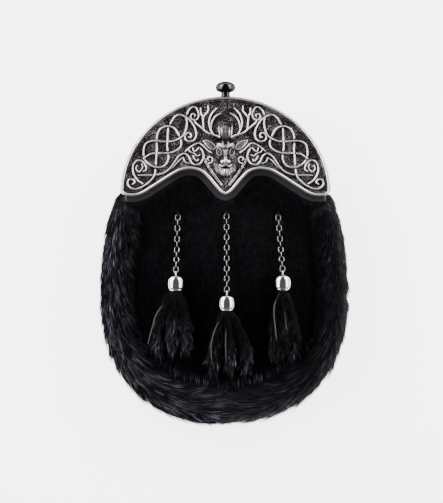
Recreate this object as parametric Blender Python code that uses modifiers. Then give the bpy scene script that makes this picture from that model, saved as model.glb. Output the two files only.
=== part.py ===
"""Dress sporran pouch: a fur-fronted leather pouch with a cast cantle and three tassels.

The pouch lies on its flat back: +Z is its front, +Y points to the cantle, +X is the
viewer's right. The origin is at the bottom centre of the bounding box. Metres.
"""
import math

import bmesh
import bpy
from mathutils import Matrix, Vector

MM = 0.001
GAP = 0.3 * MM
PARTS_COLLECTION = "sporran_pouch"

# ---- leather body ------------------------------------------------------------------
BODY_HALF_WIDTH = 76.0 * MM
BODY_WIDEST_Y = -27.0 * MM
BODY_BOTTOM_Y = -107.0 * MM
BODY_ROUNDNESS = 2.3            # exponent of the superellipse below the widest place
BODY_TOP_HALF_WIDTH = 67.0 * MM
BODY_TOP_RISE = 62.0 * MM       # from the foot of the cantle to the top edge
BACK_THICKNESS = 3.0 * MM
WALL = 2.0 * MM
GUSSET_TOP_Z = 17.3 * MM
GUSSET_END_Y = 52.0 * MM
FRONT_EDGE_Z = GUSSET_TOP_Z + GAP + WALL
DOME_HEIGHT = 10.0 * MM
DOME_HALF_WIDTH = 64.0 * MM
DOME_UP = 62.0 * MM
DOME_DOWN = 68.0 * MM
SLOT_X = 43.5 * MM
SLOT_Y = 67.0 * MM
SLOT_WIDTH = 5.0 * MM
SLOT_LENGTH = 24.0 * MM

# ---- cantle ------------------------------------------------------------------------
CANTLE_HALF_WIDTH = 74.0 * MM
CANTLE_RISE = 68.0 * MM
CANTLE_FOOT_Y = 43.1 * MM
BACKING_THICKNESS = 3.0 * MM
BACKING_Z = FRONT_EDGE_Z + GAP
BACKING_INSET = 1.5 * MM
BACKING_END_X = 70.5 * MM
LIP_DROP = 6.3 * MM             # from the middle of the rim to the lip's edge
CANTLE_Z = BACKING_Z + BACKING_THICKNESS + GAP
CANTLE_THICKNESS = 2.5 * MM
RIM_HEIGHT = 1.4 * MM
RIM_WIDTH = 2.4 * MM
RIM_SLOPE = 0.6 * MM
RIDGE_RADIUS = 1.05 * MM
GROUND_Z = CANTLE_Z + CANTLE_THICKNESS

# the scalloped lower rim, right half, from the centre tip to the corner
SCALLOP = [  # (x mm, y mm)
    (0.0, 42.6), (2.7, 44.1), (5.3, 46.9), (10.3, 52.9), (15.4, 57.9), (20.4, 60.2),
    (26.4, 60.7), (33.0, 59.2), (40.5, 54.9), (50.6, 48.4), (59.1, 43.3), (64.7, 41.9),
    (69.7, 42.2),
]

# raised strands of the right half, mirrored to the left: name, lift mm, points (x, y) mm
STRANDS = [
    ("arch", 0.0, [
        (24.0, 84.0), (25.2, 80.4), (28.9, 81.6), (26.6, 85.4), (20.6, 82.0), (22.6, 74.6)]),
    ("arch_top", 0.0, [
        (20.6, 85.0), (22.4, 91.2), (26.2, 95.5), (32.0, 98.0), (39.6, 89.9), (40.7, 80.0),
        (40.2, 68.6), (42.4, 62.6), (48.8, 61.2), (55.9, 65.2), (57.7, 70.5), (51.1, 79.7),
        (36.0, 79.7), (30.2, 83.0), (27.1, 95.5)]),
    ("leaf", 0.25, [
        (56.0, 68.4), (51.5, 70.6), (38.5, 71.4), (31.8, 75.2), (31.6, 80.8), (35.5, 87.9),
        (40.3, 90.0), (48.1, 83.0), (49.2, 60.0), (54.6, 49.9), (60.5, 46.5)]),
    ("corner", 0.25, [
        (60.5, 46.5), (65.6, 46.1), (68.7, 50.0), (65.5, 52.5), (64.0, 50.3)]),
    ("side_curl", 0.0, [
        (58.4, 49.6), (65.3, 58.0), (61.9, 65.9), (57.2, 64.2), (56.6, 59.0)]),
    ("side_leaf", 0.25, [
        (58.9, 64.0), (58.4, 60.9), (60.9, 57.9), (63.0, 59.7), (62.6, 61.9)]),
    ("long_stem", 0.4, [
        (61.2, 55.5), (44.1, 56.8), (39.5, 60.0), (33.0, 68.8), (29.2, 70.8), (26.2, 68.8),
        (22.8, 63.4), (17.9, 63.7), (15.4, 68.5), (18.0, 74.8)]),
    ("cluster", 0.0, [
        (28.2, 72.3), (22.9, 76.6), (18.4, 78.1), (13.8, 74.2), (9.8, 71.3)]),
    ("vee", 0.2, [(15.0, 66.7), (3.0, 48.9)]),
    ("beam", 0.5, [
        (4.0, 82.7), (12.8, 85.4), (22.1, 94.3)]),
    ("tine_outer", 0.5, [(16.3, 88.2), (16.1, 96.7), (17.5, 102.5)]),
    ("tine_fork", 0.5, [(16.1, 96.7), (12.6, 99.8), (12.2, 103.7)]),
    ("tine_inner", 0.5, [(8.8, 84.0), (10.8, 88.6), (11.6, 92.7), (10.8, 96.7), (6.3, 102.5)]),
    ("tine_brow", 0.5, [(10.6, 88.1), (7.3, 96.7), (3.3, 99.0)]),
    ("top_curl", 0.0, [
        (27.4, 97.7), (25.9, 101.1), (22.9, 103.6), (20.1, 102.0), (19.2, 95.9), (22.9, 94.3),
        (24.2, 97.4)]),
]

# lumps of the stag's head: name, x, y mm, half sizes mm, height over the ground mm
HEAD_LUMPS = [
    ("ruff", 0.0, 64.0, 8.5, 11.5, 1.9),
    ("skull", 0.0, 76.0, 6.4, 8.5, 2.9),
    ("muzzle", 0.0, 66.0, 4.6, 6.5, 3.8),
    ("brow", 2.9, 84.5, 1.6, 6.0, 2.3),
    ("ear", 10.6, 77.3, 4.4, 2.1, 1.6),
    ("eye", 4.2, 71.9, 1.4, 1.4, 3.1),
    ("chest", 4.6, 56.0, 2.2, 6.5, 1.7),
]

# ---- knob --------------------------------------------------------------------------
KNOB_SEAT_Y = CANTLE_FOOT_Y + CANTLE_RISE + GAP
KNOB_Z = CANTLE_Z + 0.5 * CANTLE_THICKNESS + 0.6 * MM
KNOB_PROFILE = [  # (radius mm, height mm) from the top down to the seat
    (0.0, 10.2), (3.2, 9.9), (5.3, 8.9), (6.7, 7.0), (6.95, 5.2), (6.3, 3.4), (3.0, 2.5),
    (2.95, 1.5), (2.5, 1.15), (2.95, 0.8), (2.95, 0.0), (0.0, 0.0),
]

# ---- fur ---------------------------------------------------------------------------
PILE_AT_LIP = 3.2 * MM
PILE_AT_BELLY = 5.5 * MM
PILE_FULL_Y = -30.0 * MM
FUR_TOP_Y = 36.5 * MM
FUR_HALF_WIDTH = 65.4 * MM
FUR_TOP_HALF_WIDTH = 57.0 * MM
FUR_BOTTOM_Y = -96.0 * MM
FUR_COLUMNS = 18
LIP_CLEARANCE = 2.2 * MM
FUR_SEAT = 0.9 * MM             # under the pile, over the curved leather
FUR_ROWS = 5
BORDER_INNER = 9.7 * MM         # how far the roll reaches in over the front
BORDER_HAIR_SIDE = 12.0 * MM
BORDER_HAIR_BOTTOM = 14.6 * MM
BORDER_STATIONS = 42
BORDER_SEAT = 0.45 * MM         # gap between the roll and the gusset
BORDER_LOW_Z = 3.3 * MM
BORDER_FULL_Y = 34.4 * MM
LOCK_SWEEP = 4.0 * MM

# the roll's upper ends, behind the cantle's corners
BORDER_TUCK = [  # (y mm, top z mm, reach mm)
    (34.9, 19.95, 10.5), (35.3, 19.0, 10.0), (40.0, 19.0, 8.0),
]

# ---- tassels -----------------------------------------------------------------------
WIRE = 0.48 * MM                # radius of the chain's wire
LINK_HALF_WIDTH = 1.62 * MM     # of the link's centre line
LINK_OVERLAP = 0.22 * MM
LINK_SIDES = 10
WIRE_SIDES = 5
CHAIN_LIFT = 2.5 * MM           # of the chain's centre line over the fur
CAP_RADIUS = 6.3 * MM
CAP_CUT = 4.9 * MM              # from the ball's centre to its flat bottom
CAP_LIFT = CAP_RADIUS + 0.4 * MM
CAP_BORE = 3.3 * MM
CAP_SIDES = 12
CAP_STEPS = 5
EYE_HEIGHT = 2.6 * MM           # from the ball to the middle of the eye's wire
EYE_DROP = 0.95 * MM            # from there down to the chain's lower end
EYE_HALF_SPAN = 1.5 * MM
EYE_WIRE = 0.5 * MM
EYE_SINK = 1.2 * MM             # how deep the eye's legs are cast into the ball
LOOP_STEPS = 5
FACET_TURN = math.radians(7.0)  # turns the ball's facets off the eye's plane
STAPLE_WIRE = 0.45 * MM
STAPLE_HALF_SPAN = 1.5 * MM
STAPLE_SHIFT = 0.64 * MM        # the loop's middle above the chain's upper end
STAPLE_PLATE = (4.4 * MM, 6.0 * MM, 0.8 * MM)
POCKET = (5.8 * MM, 7.4 * MM)
TASSEL_HEAD_RADIUS = 2.9 * MM
TASSEL_LOCK_RADIUS = 2.6 * MM

TASSELS = [  # (name, x of staple, y of staple, x of cap, y of cap, links)
    ("left", -33.5 * MM, 27.6 * MM, -34.7 * MM, -20.7 * MM, 11),
    ("centre", 0.7 * MM, 28.2 * MM, 0.9 * MM, -34.4 * MM, 15),
    ("right", 37.0 * MM, 27.6 * MM, 40.0 * MM, -20.3 * MM, 11),
]
TASSEL_SHAPES = {  # spread of the lock tips to the left and right and the length, mm
    "left": (19.0, 10.5, 52.0),
    "centre": (11.5, 17.0, 54.0),
    "right": (8.0, 9.5, 56.0),
}
TASSEL_LOCKS = 5
LOCK_TAPER = (0.8, 1.2, 1.1, 0.15)
LOCK_LIFT = 0.8 * MM            # of every second lock over its neighbours


# ---- scene helpers -----------------------------------------------------------------
def clear_scene():
    """Remove what is in the scene, so that the script can be run again."""
    for thing in list(bpy.data.objects):
        bpy.data.objects.remove(thing, do_unlink=True)
    for collection in list(bpy.data.collections):
        bpy.data.collections.remove(collection)


def make_collection(name):
    """Return a new collection in the scene."""
    collection = bpy.data.collections.new(name)
    bpy.context.scene.collection.children.link(collection)
    return collection


def make_material(name, colour, roughness, metallic=0.0):
    """Return a Principled material."""
    material = bpy.data.materials.new(name)
    material.use_nodes = True
    shader = material.node_tree.nodes["Principled BSDF"]
    shader.inputs["Base Color"].default_value = (*colour, 1.0)
    shader.inputs["Roughness"].default_value = roughness
    shader.inputs["Metallic"].default_value = metallic
    return material


def object_from_bmesh(name, bm):
    """Turn a bmesh into an object with its faces turned outward."""
    bmesh.ops.recalc_face_normals(bm, faces=bm.faces)
    mesh = bpy.data.meshes.new(name)
    bm.to_mesh(mesh)
    bm.free()
    thing = bpy.data.objects.new(name, mesh)
    PARTS.objects.link(thing)
    return thing


def curve_object(name, points, radius, resolution=0, cyclic=False, radii=None):
    """Return a poly curve with a round bevel along the points."""
    curve = bpy.data.curves.new(name, "CURVE")
    curve.dimensions = "3D"
    curve.twist_mode = "Z_UP"
    spline = curve.splines.new("POLY")
    spline.points.add(len(points) - 1)
    for i, (place, point) in enumerate(zip(spline.points, points)):
        place.co = (*point, 1.0)
        place.radius = radii[i] if radii else 1.0
    spline.use_cyclic_u = cyclic
    curve.bevel_depth = radius
    curve.bevel_resolution = resolution
    curve.use_fill_caps = True
    thing = bpy.data.objects.new(name, curve)
    PARTS.objects.link(thing)
    return thing


def to_mesh_object(thing):
    """Replace a curve or a modified object by a plain closed mesh in world coordinates."""
    bpy.context.view_layer.update()
    evaluated = thing.evaluated_get(bpy.context.evaluated_depsgraph_get())
    mesh = bpy.data.meshes.new_from_object(evaluated)
    name = thing.name
    matrix = thing.matrix_world.copy()
    bm = bmesh.new()
    bm.from_mesh(mesh)
    bmesh.ops.transform(bm, matrix=matrix, verts=bm.verts)
    bmesh.ops.remove_doubles(bm, verts=bm.verts, dist=0.005 * MM)
    bmesh.ops.recalc_face_normals(bm, faces=bm.faces)
    bm.to_mesh(mesh)
    bm.free()
    bpy.data.objects.remove(thing, do_unlink=True)
    result = bpy.data.objects.new(name, mesh)
    PARTS.objects.link(result)
    return result


def combine(base, others, operation="UNION", self_cutting=False):
    """Boolean the other objects into the base one by one and remove them."""
    for other in others:
        modifier = base.modifiers.new("combine", "BOOLEAN")
        modifier.operation = operation
        modifier.solver = "EXACT"
        modifier.use_self = self_cutting
        modifier.object = other
        base = to_mesh_object(base)
        bpy.data.objects.remove(other, do_unlink=True)
    return base


def dress(thing, name, material):
    """Give the finished piece its name and its own material."""
    thing.name = name
    thing.data.name = name
    thing.data.materials.clear()
    thing.data.materials.append(material)
    return thing


# ---- outlines ----------------------------------------------------------------------
def smooth(points, steps):
    """Return points on a Catmull-Rom curve through the given ones."""
    ends = [2 * points[0] - points[1], *points, 2 * points[-1] - points[-2]]
    result = []
    for i in range(1, len(ends) - 2):
        a, b, c, d = ends[i - 1:i + 3]
        for k in range(steps):
            t = k / steps
            result.append(0.5 * (2 * b + (c - a) * t + (2 * a - 5 * b + 4 * c - d) * t * t
                                 + (3 * b - a - 3 * c + d) * t ** 3))
    result.append(points[-1].copy())
    return result


def mirrored(right_half):
    """Join a right half, listed from the bottom centre up, with its mirror image."""
    left_half = [Vector((-p.x, p.y)) for p in reversed(right_half) if p.x > 1e-6]
    return [*right_half, *left_half]


def body_side(inset=0.0, lower=11, upper=3, arch=9, end_y=None):
    """Right half of the body's outline, from the bottom centre up to the top centre.

    With end_y the outline stops at that height instead of at the top centre.
    """
    a, b = BODY_HALF_WIDTH - inset, BODY_WIDEST_Y - BODY_BOTTOM_Y - inset
    power = 2 / BODY_ROUNDNESS
    points = []
    for i in range(lower + 1):
        t = 0.5 * math.pi * i / lower
        points.append(Vector((a * math.sin(t) ** power,
                              BODY_WIDEST_Y - b * max(0.0, math.cos(t)) ** power)))
    rise = CANTLE_FOOT_Y - BODY_WIDEST_Y
    for i in range(1, upper + 1):
        u = i / upper
        points.append(Vector((a + (BODY_TOP_HALF_WIDTH - BODY_HALF_WIDTH) * u * u,
                              BODY_WIDEST_Y + rise * u)))
    top_a, top_b = BODY_TOP_HALF_WIDTH - inset, BODY_TOP_RISE - inset
    last = 0.5 * math.pi
    if end_y is not None:
        last = math.asin((end_y - CANTLE_FOOT_Y) / top_b) if end_y > CANTLE_FOOT_Y else 0.0
        arch = 2
    for i in range(1, arch + 1):
        t = last * i / arch
        points.append(Vector((top_a * math.cos(t), CANTLE_FOOT_Y + top_b * math.sin(t))))
    return points


def scallop_points(steps=1):
    """The rim's lower middle line, right half, from the centre tip outwards."""
    return smooth([Vector((x, y)) * MM for x, y in SCALLOP], steps)


def offset_down(points, distance):
    """Move an open line, listed from left to right, sideways and down."""
    result = []
    for i, point in enumerate(points):
        along = points[min(i + 1, len(points) - 1)] - points[max(i - 1, 0)]
        along.normalize()
        result.append(point + Vector((along.y, -along.x)) * distance)
    result[0].x = 0.0
    return result


def arch_points(half_width, rise, count, start=0.0):
    """Right half of an arch, from its foot to the top centre."""
    points = []
    for i in range(count + 1):
        t = start + (0.5 * math.pi - start) * i / count
        points.append(Vector((half_width * math.cos(t), CANTLE_FOOT_Y + rise * math.sin(t))))
    points[-1].x = 0.0
    return points


def cantle_outline():
    """Outline of the cantle, anticlockwise from the centre tip."""
    lower = offset_down(scallop_points(), 0.5 * RIM_WIDTH)
    upper = arch_points(CANTLE_HALF_WIDTH, CANTLE_RISE, 13, start=0.02)
    return mirrored([*lower, *upper])


def backing_outline():
    """Outline of the leather board under the cantle, its lip below the rim."""
    lower = [p for p in offset_down(scallop_points(), LIP_DROP) if p.x < BACKING_END_X]
    lower[0].y = SCALLOP[0][1] * MM - LIP_DROP
    start = math.acos(BACKING_END_X / CANTLE_HALF_WIDTH)
    upper = arch_points(CANTLE_HALF_WIDTH - BACKING_INSET, CANTLE_RISE - BACKING_INSET, 12, start)
    lower.append(Vector((BACKING_END_X, CANTLE_FOOT_Y - 2.5 * MM)))
    return mirrored([*lower, *upper])


# ---- heights -----------------------------------------------------------------------
def front_z(x, y):
    """Height of the front panel's outer face."""
    up = y - BODY_WIDEST_Y
    reach = DOME_UP if up > 0 else DOME_DOWN
    radius = ((abs(x) / DOME_HALF_WIDTH) ** BODY_ROUNDNESS
              + (abs(up) / reach) ** BODY_ROUNDNESS) ** (1 / BODY_ROUNDNESS)
    return FRONT_EDGE_Z + DOME_HEIGHT * max(0.0, 1 - radius * radius) ** 1.2


def dome_edge(direction):
    """Point of the dome's edge, seen from its middle, in about the given direction."""
    reach = DOME_UP if direction.y > 0 else DOME_DOWN
    angle = math.atan2(direction.y / reach, direction.x / DOME_HALF_WIDTH)
    power = 2 / BODY_ROUNDNESS
    across = math.copysign(abs(math.cos(angle)) ** power, direction.x)
    along = math.copysign(abs(math.sin(angle)) ** power, direction.y)
    return Vector((DOME_HALF_WIDTH * across, reach * along))


def pile(y):
    """Height of the fur over the front panel."""
    t = min(1.0, max(0.0, (FUR_TOP_Y - y) / (FUR_TOP_Y - PILE_FULL_Y)))
    return PILE_AT_LIP + (PILE_AT_BELLY - PILE_AT_LIP) * t * t * (3 - 2 * t)


def fur_z(x, y):
    """Height of the fur's surface on the front."""
    return front_z(x, y) + pile(y)


# ---- meshes ------------------------------------------------------------------------
def plate(name, outline, z, thickness):
    """A flat plate from an outline."""
    bm = bmesh.new()
    face = bm.faces.new([bm.verts.new((p.x, p.y, z)) for p in outline])
    top = bmesh.ops.extrude_face_region(bm, geom=[face])
    verts = [v for v in top["geom"] if isinstance(v, bmesh.types.BMVert)]
    bmesh.ops.translate(bm, verts=verts, vec=(0, 0, thickness))
    return object_from_bmesh(name, bm)


def loft(name, sections, cyclic=False):
    """A closed body through sections of equal length, capped unless cyclic."""
    bm = bmesh.new()
    rings = [[bm.verts.new(p) for p in section] for section in sections]
    count = len(rings[0])
    pairs = list(zip(rings, rings[1:] + rings[:1])) if cyclic else list(zip(rings, rings[1:]))
    for ring, after in pairs:
        for i in range(count):
            j = (i + 1) % count
            bm.faces.new((ring[i], ring[j], after[j], after[i]))
    if not cyclic:
        bm.faces.new(rings[0])
        bm.faces.new(rings[-1])
    return object_from_bmesh(name, bm)


def turned(name, profile, sides):
    """A turned solid round +Z from a profile that starts and ends on the axis."""
    mesh = bpy.data.meshes.new(name)
    edges = [(i, i + 1) for i in range(len(profile) - 1)]
    mesh.from_pydata([(r, 0, z) for r, z in profile], edges, [])
    thing = bpy.data.objects.new(name, mesh)
    PARTS.objects.link(thing)
    screw = thing.modifiers.new("turn", "SCREW")
    screw.steps = screw.render_steps = sides
    screw.use_merge_vertices = True
    screw.merge_threshold = 0.00001
    return thing


def box(name, size, centre):
    """A box of the given size."""
    bm = bmesh.new()
    bmesh.ops.create_cube(bm, size=1.0)
    bmesh.ops.scale(bm, vec=size, verts=bm.verts)
    bmesh.ops.translate(bm, vec=centre, verts=bm.verts)
    return object_from_bmesh(name, bm)


# ---- leather -----------------------------------------------------------------------
def make_back_panel(material):
    """The flat board that the pouch rests on, with a strap slot on each side."""
    panel = plate("back_panel", mirrored(body_side()), 0.0, BACK_THICKNESS)
    size = (SLOT_WIDTH, SLOT_LENGTH, 4 * BACK_THICKNESS)
    slots = [box("slot", size, (side * SLOT_X, SLOT_Y, 0.0)) for side in (-1, 1)]
    return dress(combine(panel, slots, "DIFFERENCE"), "back_panel", material)


def make_gusset(material):
    """The U-shaped wall between the back and the front."""
    outer = body_side(end_y=GUSSET_END_Y)
    inner = body_side(inset=WALL, end_y=GUSSET_END_Y)
    low, high = BACK_THICKNESS + GAP, GUSSET_TOP_Z
    sections = []
    sides = [(p, q, -1) for p, q in zip(outer[:0:-1], inner[:0:-1])]
    sides += [(p, q, 1) for p, q in zip(outer, inner)]
    for p, q, side in sides:
        sections.append([(side * p.x, p.y, low), (side * p.x, p.y, high),
                         (side * q.x, q.y, high), (side * q.x, q.y, low)])
    return dress(loft("gusset", sections), "gusset", material)


def make_front_panel(material):
    """The domed front: rings from the outline in to the middle, given a thickness."""
    outline = mirrored(body_side(lower=7, upper=2, arch=6))
    middle = Vector((0.0, BODY_WIDEST_Y))
    bm = bmesh.new()
    rings = [[bm.verts.new((p.x, p.y, FRONT_EDGE_Z)) for p in outline]]
    for scale in (1.0, 0.88, 0.66, 0.34):
        ring = [middle + dome_edge(p - middle) * scale for p in outline]
        rings.append([bm.verts.new((p.x, p.y, front_z(p.x, p.y))) for p in ring])
    for ring, after in zip(rings, rings[1:]):
        for i in range(len(ring)):
            j = (i + 1) % len(ring)
            bm.faces.new((ring[i], ring[j], after[j], after[i]))
    bm.faces.new(rings[-1])
    panel = object_from_bmesh("front_panel", bm)
    upward = sum(face.normal.z for face in panel.data.polygons) > 0
    if not upward:
        panel.data.flip_normals()
    solidify = panel.modifiers.new("leather", "SOLIDIFY")
    solidify.thickness = WALL
    solidify.offset = -1.0
    return dress(panel, "front_panel", material)


def make_backing(material):
    """The leather board that carries the cantle."""
    board = plate("cantle_backing", backing_outline(), BACKING_Z, BACKING_THICKNESS)
    return dress(board, "cantle_backing", material)


# ---- cantle ------------------------------------------------------------------------
def rimmed_plate():
    """The cantle's plate with its raised rim, from one outline inset step by step."""
    bm = bmesh.new()
    outline = cantle_outline()
    face = bm.faces.new([bm.verts.new((p.x, p.y, CANTLE_Z)) for p in outline])
    face.normal_update()
    if face.normal.z > 0:
        face.normal_flip()
    top = bmesh.ops.extrude_face_region(bm, geom=[face])
    verts = [v for v in top["geom"] if isinstance(v, bmesh.types.BMVert)]
    bmesh.ops.translate(bm, verts=verts, vec=(0, 0, CANTLE_THICKNESS))
    bm.normal_update()
    top_face = max(bm.faces, key=lambda f: f.calc_center_median().z)
    flat = RIM_WIDTH - 2 * RIM_SLOPE
    for width, rise in ((RIM_SLOPE, RIM_HEIGHT), (flat, 0.0), (RIM_SLOPE, -RIM_HEIGHT)):
        bmesh.ops.inset_region(bm, faces=[top_face], thickness=width, depth=rise,
                               use_even_offset=True)
    return object_from_bmesh("cantle", bm)


def ridge(name, points, lift, side):
    """One raised strand, half sunk in the ground of the cantle."""
    places = [(side * x * MM, y * MM, GROUND_Z + lift * MM) for x, y in points]
    return to_mesh_object(curve_object(name, places, RIDGE_RADIUS))


def lump(name, x, y, half_x, half_y, height):
    """One rounded lump of the stag's head."""
    bm = bmesh.new()
    is_large = half_y > 0.5 * HEAD_LUMPS[0][4]
    bmesh.ops.create_uvsphere(bm, u_segments=8 if is_large else 6,
                              v_segments=5 if is_large else 4, radius=1.0)
    bmesh.ops.scale(bm, vec=(half_x * MM, half_y * MM, height * MM), verts=bm.verts)
    bmesh.ops.translate(bm, vec=(x * MM, y * MM, GROUND_Z), verts=bm.verts)
    for vert in bm.verts:
        vert.co.z = max(vert.co.z, GROUND_Z - 0.5 * CANTLE_THICKNESS)
    return object_from_bmesh(name, bm)


def make_cantle(material):
    """The cast cantle: plate, rim, knotwork, antlers and head as one solid."""
    raised = []
    for name, lift, points in STRANDS:
        raised += [ridge(name, points, lift, side) for side in (-1, 1)]
    for name, x, y, half_x, half_y, height in HEAD_LUMPS:
        sides = (-1, 1) if x else (1,)
        raised += [lump(name, side * x, y, half_x, half_y, height) for side in sides]
    return dress(combine(rimmed_plate(), raised, self_cutting=True), "cantle", material)


def make_knob(material):
    """The turned finial on top of the cantle."""
    knob = turned("knob", [(r * MM, z * MM) for r, z in KNOB_PROFILE], CAP_SIDES)
    knob.rotation_euler = (-0.5 * math.pi, 0.0, 0.0)
    knob.location = (0.0, KNOB_SEAT_Y, KNOB_Z)
    return dress(knob, "knob", material)


# ---- fur ---------------------------------------------------------------------------
def lip_edge_y(x):
    """Height along the body of the lip's lower edge at x."""
    edge = offset_down(scallop_points(), LIP_DROP)
    edge[0].y = SCALLOP[0][1] * MM - LIP_DROP
    for a, b in zip(edge, edge[1:]):
        if a.x <= abs(x) <= b.x:
            return a.y + (b.y - a.y) * (abs(x) - a.x) / (b.x - a.x)
    return edge[-1].y


def fur_front_place(column, row):
    """Place of a grid point of the front fur, across and down."""
    across = math.sin(math.pi * (column / FUR_COLUMNS - 0.5))
    half = FUR_COLUMNS // 2
    shaggy = 1.6 * MM if column % 2 and abs(column - half) < half - 1 else 0.0
    bottom = BODY_WIDEST_Y - (BODY_WIDEST_Y - FUR_BOTTOM_Y) * (
        max(0.0, 1 - abs(across) ** BODY_ROUNDNESS) ** (1 / BODY_ROUNDNESS)) + shaggy
    top = lip_edge_y(across * FUR_TOP_HALF_WIDTH) - LIP_CLEARANCE
    down = row / FUR_ROWS
    y = top + (bottom - top) * down
    rise = min(1.0, max(0.0, (y - BODY_WIDEST_Y) / (FUR_TOP_Y - BODY_WIDEST_Y)))
    half_width = FUR_HALF_WIDTH + (FUR_TOP_HALF_WIDTH - FUR_HALF_WIDTH) * rise * rise
    return Vector((across * half_width, y))


def make_fur_front(material):
    """The short pile on the front, with locks that run down it."""
    sections = []
    for column in range(FUR_COLUMNS + 1):
        places = [fur_front_place(column, row) for row in range(FUR_ROWS + 1)]
        lock = 0.5 * MM if column % 2 else 0.0
        upper = [(p.x, p.y, fur_z(p.x, p.y) - lock) for p in places]
        lower = [(p.x, p.y, front_z(p.x, p.y) + FUR_SEAT) for p in reversed(places)]
        sections.append(upper + lower)
    fur = loft("fur_front", sections)
    pockets = []
    for _, x, y, _, _, _ in TASSELS:
        pocket = box("pocket", (*POCKET, 20 * MM), (x, y, front_z(x, y)))
        pockets.append(pocket)
    return dress(combine(fur, pockets, "DIFFERENCE"), "fur_front", material)


def border_path():
    """Stations down the left side, round the bottom and up the right: place, normal, along."""
    dense = body_side(lower=60, upper=40, end_y=CANTLE_FOOT_Y)
    right = [p for p in dense if p.y < BORDER_FULL_Y]
    line = [Vector((-p.x, p.y)) for p in right[:0:-1]] + right
    return [(place, Vector((along.y, -along.x)), along)
            for place, along in spaced(line, BORDER_STATIONS + 1)[0]]


def full_section(place, normal, along, is_valley):
    """Section of the roll at one station, from its inner edge round the outside."""
    low = min(1.0, max(0.0, (place.y - BODY_BOTTOM_Y) / (BODY_WIDEST_Y - BODY_BOTTOM_Y)))
    hair = BORDER_HAIR_BOTTOM + (BORDER_HAIR_SIDE - BORDER_HAIR_BOTTOM) * low
    hair *= 0.84 if is_valley else 1.0
    dip = 1.4 * MM if is_valley else 0.0
    sweep = 0.0 if is_valley else -math.copysign(LOCK_SWEEP, place.x) * (1 - low * 0.4)
    base = FRONT_EDGE_Z + GAP
    rows = [(-BORDER_INNER, base), (BORDER_SEAT, base), (BORDER_SEAT, BORDER_LOW_Z),
            (0.55 * hair, BORDER_LOW_Z), (hair, 9 * MM), (0.8 * hair, 19 * MM - dip),
            (0.1 * hair, 26 * MM - dip), (0.2 * MM - BORDER_INNER, 26.5 * MM - dip)]
    swept = (4, 5)
    section = []
    for i, (out, z) in enumerate(rows):
        point = place + normal * out + along * (sweep if i in swept else 0.0)
        section.append((point.x, point.y, z))
    return section


def tucked_section(side, y, top, reach):
    """Section of the roll beside the body, where it tucks in behind the cantle's corner."""
    rise = (y - BODY_WIDEST_Y) / (CANTLE_FOOT_Y - BODY_WIDEST_Y)
    edge = BODY_HALF_WIDTH + (BODY_TOP_HALF_WIDTH - BODY_HALF_WIDTH) * rise * rise
    rows = [(2 * BORDER_SEAT, top), (BORDER_SEAT, 12 * MM), (BORDER_SEAT, BORDER_LOW_Z),
            (0.55 * reach, BORDER_LOW_Z), (reach, 9 * MM), (0.8 * reach, 15 * MM),
            (0.5 * reach, top), (0.3 * reach, top)]
    return [(side * (edge + out), y, z) for out, z in rows]


def make_fur_border(material):
    """The long fur round the sides and the bottom: a roll of locks, lofted as one body."""
    sections = [full_section(*station, i % 2 == 0) for i, station in enumerate(border_path())]
    for side in (-1, 1):
        for y, top, reach in BORDER_TUCK:
            section = tucked_section(side, y * MM, top * MM, reach * MM)
            sections.insert(0, section) if side < 0 else sections.append(section)
    return dress(loft("fur_border", sections), "fur_border", material)


# ---- chains and tassels ------------------------------------------------------------
def chain_path(row):
    """Line of the chain's middle, from the staple down to the eye of the cap."""
    _, top_x, top_y, cap_x, cap_y, _ = row
    cap_z = fur_z(cap_x, cap_y) + CAP_LIFT
    end_y = cap_y + CAP_RADIUS + EYE_HEIGHT - EYE_DROP
    start_y = top_y
    points = []
    for i in range(41):
        t = i / 40
        x = top_x + (cap_x - top_x) * t
        y = start_y + (end_y - start_y) * t
        rise = max(0.0, (t - 0.55) / 0.45)
        flat = fur_z(x, y) + CHAIN_LIFT
        points.append(Vector((x, y, flat + (cap_z - flat) * rise * rise * (3 - 2 * rise))))
    return points


def spaced(points, count):
    """Return count places at equal steps along a line, with the direction there."""
    lengths = [0.0]
    for a, b in zip(points, points[1:]):
        lengths.append(lengths[-1] + (b - a).length)
    result = []
    for i in range(count):
        target = lengths[-1] * i / (count - 1)
        k = max(1, next((n for n, s in enumerate(lengths) if s >= target - 1e-9), 1))
        t = (target - lengths[k - 1]) / (lengths[k] - lengths[k - 1])
        result.append((points[k - 1].lerp(points[k], t), (points[k] - points[k - 1]).normalized()))
    return result, lengths[-1] / (count - 1)


def link(centre, along, is_edge_on, half_length):
    """One oval link: a closed tube round a stadium."""
    side = along.cross(Vector((0, 0, 1))).normalized()
    across = along.cross(side).normalized() if is_edge_on else side
    out_of_plane = along.cross(across).normalized()
    straight = half_length - LINK_HALF_WIDTH
    bm = bmesh.new()
    rings = []
    for i in range(LINK_SIDES):
        end = 1 if i < LINK_SIDES // 2 else -1
        angle = math.pi * (i % (LINK_SIDES // 2)) / (LINK_SIDES // 2 - 1) - 0.5 * math.pi
        outward = end * (along * math.cos(angle) + across * math.sin(angle))
        middle = centre + along * (end * straight) + outward * LINK_HALF_WIDTH
        ring = []
        for j in range(WIRE_SIDES):
            turn = 2 * math.pi * j / WIRE_SIDES + math.pi
            ring.append(bm.verts.new(middle + WIRE * (outward * math.cos(turn)
                                                      + out_of_plane * math.sin(turn))))
        rings.append(ring)
    for ring, after in zip(rings, rings[1:] + rings[:1]):
        for j in range(WIRE_SIDES):
            k = (j + 1) % WIRE_SIDES
            bm.faces.new((ring[j], ring[k], after[k], after[j]))
    return object_from_bmesh("link", bm)


def chain_places(row):
    """Places of the links: their pitch leaves the end links free of eye and staple."""
    path = chain_path(row)
    return spaced(path, 2 * row[5] + 1)


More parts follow.
